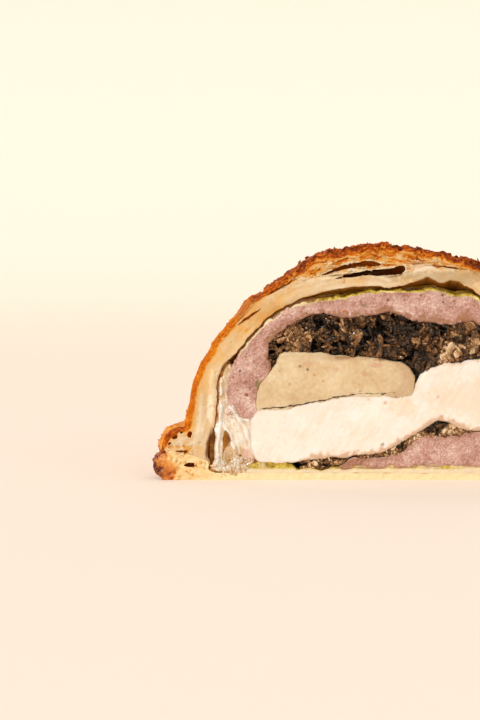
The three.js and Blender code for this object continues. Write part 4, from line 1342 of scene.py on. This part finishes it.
POCKET_DEPTHS = [7, 4]  # of the two widest hollows; the other holes of the solid are slits
SLIT_DEPTH = 1.2
FOOT_HOLE_DEPTH = 1.6
# How much painted shade darkens the inside of the two widest hollows, the slits and the foot's bubbles.
POCKET_SHADE = [0.85, 0.3]  # inside them, from 0 to 1
SLIT_SHADE = 0.3
FOOT_HOLE_SHADE = 0.8
LID_INSIDE_SWELL = [0.0, 0.15, 0.6, 2.4, 3.6, 2.4, *np.zeros(len(TURNS_BACK) - 6)]  # of each ring
FOOT_HOLES = [  # middle, half width, half height and lean of each bubble in the pinched foot
    (-62.7, 8.5, 1.8, 0.62, 0.1), (-60.2, 13.9, 0.7, 1.0, -0.2), (-64.6, 13.0, 0.8, 0.45, 0.5),
    (-66.2, 11.0, 0.6, 0.35, 0.9), (-62.6, 14.4, 0.5, 0.35, 0.2), (65.6, 17.2, 1.6, 0.6, 0.3),
    (67.4, 14.2, 0.7, 0.4, 0.2),
]


def lid_profile(line, bead):
    """A side of the lid's outside from the top down to the inner edge of its foot, in even stops."""
    dome = chain_between(line, line[0], bead[0])
    lump = chain_between(line, bead[0], bead[1])
    parts = [evenly(dome, DOME_STOPS), evenly(lump, BEAD_STOPS)[1:]]
    under = np.linspace(lump[-1], line[-1], UNDER_STOPS)[1:]
    parts.append(under + 0.25 * bumps(under, 4, 207)[:, None] * (0, 1))
    return np.vstack(parts)


def broken_flakes(points):
    """The large and the small broken flakes of the outside, as chips gives them."""
    uneven = sway(points, 2.4, 221, 2, 3)
    wide = points * (1, 1, 1.4)
    return chips(wide + 1.1 * uneven, 5.2, 231), chips(wide + 0.7 * uneven, 2.3, 241)


def skin_push(points, turns):
    """How far the baked outside stands out in mm: blisters, broken flakes, and pinches round the foot."""
    height = points[:, 2]
    crown = ease(height, 30, 60)
    (rim, number), (rim_small, number_small) = broken_flakes(points)
    flakes = 0.38 * number + 0.18 * number_small
    curled = 0.34 * (1 - ease(rim, 0.03, 0.16)) * (number > 0) + 0.14 * (1 - ease(rim_small, 0.04, 0.2))
    push = (flakes + curled) * (0.2 + 0.9 * crown) + 0.4 * bumps(points, 10, 251)
    push += 0.16 * bumps(points, 1.4, 253, 2)
    for x, wide, high in CRAGS:
        far = np.hypot(points[:, 0] - x, points[:, 1])
        push += high * (1 - ease(far, 0.2 * wide, 1.2 * wide)) * crown
    at_foot = 1 - ease(height, 15, 20)
    knobs = at_foot * (0.9 * bumps(points, 3.2, 257, 2) + 0.28 * bumps(points, 1.1, 259, 2))
    return push + knobs + 0.8 * pinches(points, turns) * (1 - ease(height, 12, 24)) * ease(height, 5.5, 8)


def lid_finish():
    f = Finish("golden_puff_pastry", Specular_IOR_Level=0.18, Subsurface_Weight=0.18,
               Subsurface_Scale=0.0016, Subsurface_Radius=(1.0, 0.55, 0.25))
    layers = f.add("ShaderNodeAttribute", {"attribute_name": "layers"}).outputs["Vector"]
    wide = f.add("ShaderNodeMapping", Vector=layers, Scale=(0.5, 2.4, 1)).outputs[0]
    fine = f.add("ShaderNodeMapping", Vector=layers, Scale=(1.4, 6.0, 1)).outputs[0]
    flaky = f.mark("flaky")
    streaked = f.maths("MULTIPLY", f.swing(f.noise(1, 4, 0.6, wide, 0.6), 0.14, 0.32, 0.68), flaky)
    lined = f.maths("MULTIPLY", f.swing(f.noise(1, 3, 0.6, fine, 0.4), 0.08), flaky)
    mottled = f.total(f.swing(f.noise(6.5, 5, 0.6), 0.08), f.swing(f.noise(0.7, 4), 0.08))
    browning = f.maths("MULTIPLY", mottled, f.span(f.mark("bake"), 0.08, 0.35, 0.25, 1.0))
    bake = f.total(f.mark("bake"), browning, streaked, lined)
    colour = f.ramp(bake, [
        (0.0, (244, 228, 198)), (0.10, (224, 196, 156)), (0.20, (226, 182, 120)), (0.30, (230, 168, 78)),
        (0.42, (220, 128, 6)), (0.56, (192, 90, 0)), (0.70, (146, 60, 4)), (0.84, (98, 38, 8)),
        (1.0, (56, 22, 10)),
    ])
    # Painted shade: brown where the hollow mark is strong, in hollows, cracks, along the seam and in gaps.
    colour = f.mix(f.mark("hollow"), colour, (120, 68, 16))
    gloss = f.span(bake, 0.1, 0.7, 0.55, 0.36)
    relief = f.bump(streaked, 0.3, f.bump(f.noise(0.45, 4), 0.08, f.bump(f.noise(2.0, 4, 0.6), 0.2)))
    return f.done(f.paint(colour), gloss, relief)


lid_pastry = lid_finish()


def lid_cut_marks(flat, outer, inner):
    """Relief and baking of the lid's cut face: skin, flaky layers, the seam under them and the smooth
    dough. The outer line is the browned one, without the foot's underside."""
    outer = evenly(outer, spacing=OUTER_SPACING)
    x, z = flat.T
    to_outer, at_outer = nearest(flat, outer)
    to_inner, at_inner = nearest(flat, inner)
    strip = np.c_[OUTER_SPACING * at_outer, to_outer]
    around = np.degrees(np.arctan2(z - ARCH_MIDDLE, x))
    leftness = ease(around, 118, 142)
    dough = np.interp(around, DOUGH_AT, DOUGH_THICKNESS) + 0.35 * bumps(flat, 9, 261)
    foot = np.maximum(ease(-x, 60.5, 62.5) * (1 - ease(z, 15, 18)),
                      ease(x, 62, 64) * (1 - ease(z, 22, 25)))
    flaky = np.maximum(ease(to_inner - dough, -0.15, 0.35) * (1 - 0.6 * ease(around, 142, 160)), foot)

    # Broken flakes lie along the crust, about 2 mm long, each with its own height and browning.
    bent = strip + 0.55 * sway(flat, 1.5, 262, 3)
    rim, number = chips(bent / (6.5, 1), 0.55, 263)
    _, number_fine = chips(bent / (3.0, 1), 0.32, 264)
    crack = 1 - ease(rim, 0.03, 0.2)
    blotch = bumps(flat * (0.8, 1.2), 1.8, 265, 3)
    web, web_number = chips(flat + 0.3 * bumps(flat, 1.2, 278)[:, None], 1.8, 280)
    pit = ease(web, 0.18, 0.6) * (web_number > -0.3)
    skin_width = 1.35 + 0.75 * leftness - 0.2 * foot + (0.3 + 0.5 * foot) * bumps(strip / (3, 1), 1.2, 266)
    skin = 1 - ease(to_outer, skin_width - 0.6, skin_width + 0.2)
    seam = (1 - ease(np.abs(to_inner - dough), 0.05, 0.3)) * ease(bumps(flat, 5, 269), -0.1, 0.3)
    seam *= 1 - foot
    seam *= 1 - ease(around, 142, 155)
    rough = flaky * (1 - 0.5 * leftness * skin) * (1 - 0.7 * foot * (1 - skin))
    torn = 0.24 * number + 0.12 * number_fine + 0.12 * crack + 0.2 * blotch
    depth = cut_relief(flat) + rough * torn + 0.4 * seam + 0.45 * pit * foot * (1 - skin)
    ripple = bumps(np.c_[INNER_SPACING * at_inner / 5.5, to_inner], 1.5, 272, 2)
    depth += (1 - flaky) * 0.22 * ripple + 0.10 * bumps(flat, 1.8, 271, 2) + 0.22 * bumps(flat, 6, 273)
    blisters = 0.2 * bumps(flat, 0.9, 275, 2) * skin * (1 - leftness)
    depth += 0.15 * (1 - ease(to_inner, 0, 0.6)) ** 2 + blisters
    low = ease(z, 5.5, 8.0) * (1 - ease(z, 12.5, 17)) * (x < -45)
    parted = (1 - ease(to_inner + 0.25 * bumps(flat, 2, 268), 0.3, 0.9)) * low
    depth += 1.2 * parted
    bubble, bubble_number = chips(flat, 2.1, 276)
    depth += (1 - flaky) * np.where(bubble_number > 0.62, 0.35 * ease(bubble, 0.45, 0.8), 0)

    golden = np.interp(around, DOUGH_AT, DOUGH_GOLD)
    bake = golden + 0.035 * bumps(flat, 3, 277, 2) + 0.04 * ripple * (1 - flaky)
    outwards = ease(to_inner - dough, 0.3, 2.8)
    flaked = 0.06 + 0.18 * outwards + (0.07 + 0.09 * outwards) * number + 0.08 * number_fine
    bake += flaky * (flaked + 0.11 * blotch)
    bake += 0.16 * flaky * (1 - ease(to_outer, skin_width, skin_width + 1.8))
    plain = 1 - 0.8 * leftness
    skin_bake = 0.66 - 0.18 * leftness + (0.09 * plain + 0.12 * foot) * number + 0.07 * number_fine * plain
    skin_bake += 0.14 * foot
    skin_bake += 0.05 * plain + 0.16 * blotch * np.maximum(plain, foot)
    bake = bake * (1 - foot) + (0.12 + 0.20 * pit + 0.05 * blotch) * foot
    bake = bake * (1 - skin) + skin_bake * skin
    # Painted shade in the cracks between flakes, along the seam and in the parted gap low on the left.
    hollow = 0.14 * crack * rough * (1 - 0.6 * skin) + 0.6 * seam + 0.9 * parted
    texture = np.clip(flaky + skin, 0, 1) * (1 - 0.75 * leftness * skin) * (1 - 0.8 * foot * (1 - skin))
    return depth, bake, np.clip(hollow, 0, 1), texture, strip


def ellipse(x, z, wide, high, lean):
    """A small closed outline, against the clock's run of a border, as a hole has it."""
    angles = np.arange(0, 2 * math.pi, 0.16)[::-1]
    across, up = wide * np.cos(angles), high * np.sin(angles)
    leant_x = x + across * math.cos(lean) - up * math.sin(lean)
    leant_z = z + across * math.sin(lean) + up * math.cos(lean)
    return np.stack([leant_x, leant_z], axis=1)


def ragged(hole):
    """A hole's outline with an uneven, broken edge."""
    return hole + (0.16 * sway(hole, 0.8, 287, 2) + 0.10 * sway(hole, 2.5, 289))


def lid_outside(outside):
    """The baked outside as a grid of points: [row from the top to the inside of the foot, turn]."""
    top = int(np.argmin(np.abs(outside[:, 0]) + 99 * (outside[:, 1] < 40)))
    right = lid_profile(outside[: top + 1][::-1], BEAD_RIGHT)
    left = lid_profile(outside[top:], BEAD_LEFT)
    right[0] = left[0] = (0, outside[top, 1])
    turns = turns_from_cut(*SKIN_STEPS, PIE_RADIUS)
    skin = turned_grid(left, right, turns)
    rows, columns = skin.shape[:2]
    push = skin_push(skin.reshape(-1, 3), np.tile(turns, rows)).reshape(rows, columns)
    foot_fade = ease(np.arange(rows)[::-1], 0, 8)[:, None]
    skin = skin - grid_normals(skin) * (push * foot_fade)[..., None]
    skin[0] = skin[0].mean(axis=0)
    skin[0][:, 1] = 0
    return skin


def lid_inside(points, faces, line, inner_line, depth):
    """Adds the wall that runs back from the inner line of the cut face, and its far end. The ends of the
    wall's rings, on the left and on the right, are given back for the underside of the foot."""
    start, left, right = np.array(line), [], []
    for turn, by in zip(TURNS_BACK, LID_INSIDE_SWELL):
        ring = ring_at(turn, inner_line + by * normals_of(inner_line) * fade_ends(len(inner_line), 12))
        ring[:, 1] += depth * (1 - ring[:, 1] / CAVITY_DEPTH)
        behind = len(points) + np.arange(len(ring))
        points = np.vstack([points, ring])
        faces += np.stack([start[1:], start[:-1], behind[:-1], behind[1:]], axis=1).tolist()
        start = behind
        left.append(int(behind[0]))
        right.append(int(behind[-1]))
    faces.append(start[::-1].tolist())
    return points, faces, left, right


def make_lid():
    outline, holes = cut_outlines("crust_lid")
    skin = lid_outside(soft_chain(outline, LID_FOOT_RIGHT, LID_FOOT_LEFT, 0.4))
    rows, columns = skin.shape[:2]
    inner = soft_chain(outline, LID_FOOT_LEFT, LID_FOOT_RIGHT, INNER_SPACING)
    inner = np.vstack([inner[:1], wavered(inner[1:-1]), inner[-1:]])

    # The cut face's border: the right side from the foot up, the left side down, and the inside back.
    border = np.vstack([skin[::-1, 0][:, [0, 2]], skin[1:, -1][:, [0, 2]], inner[1:-1]])
    holes = [evenly(rounded(hole), spacing=0.25, closed=True) for hole in holes]
    holes = [ragged(hole) for hole in holes] + [ragged(ellipse(*hole)) for hole in FOOT_HOLES]
    flat, faces, rims = tiled(border, LID_CUT_SPACING, holes)
    cut_outer = border[UNDER_STOPS - 1 : 2 * rows - UNDER_STOPS]
    depth, bake, hollow, flaky, layers = lid_cut_marks(flat, cut_outer, inner)
    depth[: 2 * rows - 1] = np.clip(depth[: 2 * rows - 1], -0.3, 0.3)
    underside = np.vstack([border[:UNDER_STOPS], border[2 * rows - 1 - UNDER_STOPS : 2 * rows - 1]])
    joined = 1 - ease(nearest(flat, underside)[0], 0.1, 0.6)
    depth += (cut_relief(flat) - depth) * joined
    points = set_back(flat, depth)
    front = len(flat)

    # The outside: the grid's end columns are points of the border, and its first row is the top point.
    number = front + np.arange(rows * columns).reshape(rows, columns)
    number[:, 0] = rows - 1 - np.arange(rows)
    number[:, -1] = rows - 1 + np.arange(rows)
    number[0] = rows - 1
    used = np.zeros((rows, columns), bool)
    used[1:, 1:-1] = True
    number[used] = front + np.arange(used.sum())
    quads = np.stack([number[1:-1, :-1], number[2:, :-1], number[2:, 1:], number[1:-1, 1:]], axis=-1)
    fan = np.stack([number[1, :-1], number[1, 1:], number[0, 1:]], axis=-1)
    points = np.vstack([points, skin[used]])
    faces = [*faces.tolist(), *quads.reshape(-1, 4)[:, ::-1].tolist()]
    faces += fan[:, ::-1].tolist()
    outside_end = len(points)

    # The inside: a wall that runs back from the inner line, its far end, and the foot's underside.
    first_inner = 2 * rows - 1
    line = [2 * rows - 2, *range(first_inner, first_inner + len(inner) - 2), 0]
    inner_line = np.vstack([skin[-1, -1][[0, 2]], inner[1:-1], skin[-1, 0][[0, 2]]])
    points, faces, left, right = lid_inside(points, faces, line, inner_line, depth[line])
    faces.append([int(n) for n in number[-1]] + left + right[::-1])
    inside_end = len(points)

    # The hollows, the slits and the bubbles of the foot, each with how much painted shade its inside gets.
    dark = []
    slits = len(holes) - len(POCKET_DEPTHS) - len(FOOT_HOLES)
    depths = POCKET_DEPTHS + [SLIT_DEPTH] * slits + [FOOT_HOLE_DEPTH] * len(FOOT_HOLES)
    hole_shades = POCKET_SHADE + [SLIT_SHADE] * slits + [FOOT_HOLE_SHADE] * len(FOOT_HOLES)
    for hole, back, hole_shade in zip(rims, depths, hole_shades):
        before = len(points)
        points, faces = pocketed(points, faces, hole, back)
        dark += [hole_shade] * (len(points) - before)

    # How each part is baked, painted, and strewn with loose flakes and crumbs.
    count = len(points)
    bake, hollow, flaky = (padded(v, count) for v in (bake, hollow, flaky))
    layers = np.c_[padded(layers, count), np.zeros(count)]
    baked = slice(front, outside_end)
    shell = points[baked]
    crown = ease(shell[:, 2], 20, 66)
    (_, flake_tone), (_, scrap_tone) = broken_flakes(shell)
    bake[baked] = 0.44 + 0.23 * crown + 0.05 * flake_tone + 0.05 * scrap_tone
    bake[baked] += 0.08 * bumps(shell, 14, 281, 2)
    bake[baked] += 0.05 * bumps(shell, 1.1, 282, 2)
    flaky[baked] = 0.0
    wall = points[outside_end:inside_end]
    bake[outside_end:inside_end] = 0.34 + 0.06 * bumps(wall, 2.5, 284, 2)
    # Painted shade on the inside wall, darker further back.
    hollow[outside_end:inside_end] = 0.45 + 0.5 * ease(wall[:, 1], 1.0, 5)
    # Inside the hollows, slits and bubbles: browner, with painted shade that deepens as they run back.
    bake[inside_end:] = 0.40 + 0.12 * np.array(dark) + 0.12 * bumps(points[inside_end:], 2.0, 285, 2)
    hollow[inside_end:] = 0.1 + 0.9 * np.array(dark) * ease(points[inside_end:, 1], 0.5, 6)
    # The cut face's paint: the dough's tints, with painted shade and painted highlights among them.
    paint = painted(points[:, [0, 2]], DOUGH_TINTS_SHADE_AND_HIGHLIGHTS)
    paint[front:, 3] = 0
    crowd = np.zeros(count)
    height = shell[:, 2]
    crowd[baked] = np.clip(0.10 + 0.9 * ease(height, 42, 62) + 0.5 * (1 - ease(height, 14, 24)), 0, 1)
    patches = 0.35 + 0.65 * ease(bumps(shell, 6, 288, 2), -0.4, 0.5)
    crowd[baked] *= patches * (0.3 + 0.7 * ease(shell[:, 1], 2, 6))
    crowd[:front] = 0.55 * ease(flaky[:front], 0.3, 0.8) * ease(flat[:, 1], 8, 30)
    near_pockets, _ = nearest(flat, np.vstack(holes[: len(POCKET_DEPTHS)]))
    lit_edge = 1 - ease(near_pockets + 0.3 * bumps(flat, 1.5, 286), 0.2, 0.9)
    bake[:front] -= 0.16 * lit_edge * flaky[:front]
    crowd[:front] = np.maximum(crowd[:front], 0.9 * lit_edge)
    size = np.ones(count)
    size[:front] = 0.5
    size[baked] = 0.6 + 0.4 * ease(shell[:, 1], 1, 5)
    marks = {"bake": bake, "hollow": hollow, "flaky": flaky, "layers": layers, "paint": paint}
    marks |= {"crowd": crowd, "size": size}
    return finished_mesh("lid", points, faces, marks, lid_pastry, ["crust_lid"], 60)


lid = make_lid()


FLAKE_KINDS = 8
FLAKE_RAYS = 10  # corners round each flake's edge


def flake_shapes():
    """Thin broken scraps of pastry leaf, each about 1 across: ragged, cupped and closed all round."""
    shapes = bpy.data.collections.new("pastry_flakes")
    edge, below = 1 + FLAKE_RAYS, 1 + 2 * FLAKE_RAYS  # first points of the edge and of the underside
    rays = [(a, (a + 1) % FLAKE_RAYS) for a in range(FLAKE_RAYS)]
    for n in range(FLAKE_KINDS):
        random = np.random.default_rng(300 + n)
        angles = np.linspace(0, 2 * math.pi, FLAKE_RAYS + 1)[:-1] + random.uniform(-0.2, 0.2, FLAKE_RAYS)
        reach = random.uniform(0.28, 0.62, FLAKE_RAYS) * np.where(np.arange(FLAKE_RAYS) % 2, 0.8, 1)
        rim = np.stack([reach * np.cos(angles) * 1.25, reach * np.sin(angles) * 0.8], axis=1)
        flat = np.vstack([[(0, 0)], 0.5 * rim, rim])
        cup = random.uniform(0.3, 0.9) * flat[:, 0] ** 2 + random.uniform(-0.4, 0.5) * flat[:, 1] ** 2
        cup += 0.05 * random.normal(size=len(flat))
        upper = np.c_[flat, cup + 0.06]
        lower = np.c_[flat, cup - 0.03]
        fan = [(0, 1 + a, 1 + b) for a, b in rays]
        band = [(1 + a, edge + a, edge + b, 1 + b) for a, b in rays]
        faces = fan + band + [tuple(below + v for v in reversed(face)) for face in fan + band]
        faces += [(edge + a, below + edge + a, below + edge + b, edge + b) for a, b in rays]
        mesh = bpy.data.meshes.new(f"flake_{n}")
        mesh.from_pydata(np.vstack([upper, lower]).tolist(), [], faces)
        keep_shape(shapes, mesh, 40)
    return shapes


strew(lid, "loose_flakes", flake_shapes(), lid_pastry, density=0.35, apart=0.7,
      smallest=0.9, largest=2.8, seed=310, spread=0.14, mark="bake", tilt=0.35)
strew(lid, "pastry_crumbs", crumbs, lid_pastry, density=0.30, apart=0.6, smallest=0.4,
      largest=1.3, seed=320, spread=0.16, mark="bake", tilt=1.2)
strew(base_sheet, "base_crumbs", crumbs, pastry, density=0.5, apart=0.6, smallest=0.4,
      largest=1.3, seed=330, spread=0.2, mark="bake")
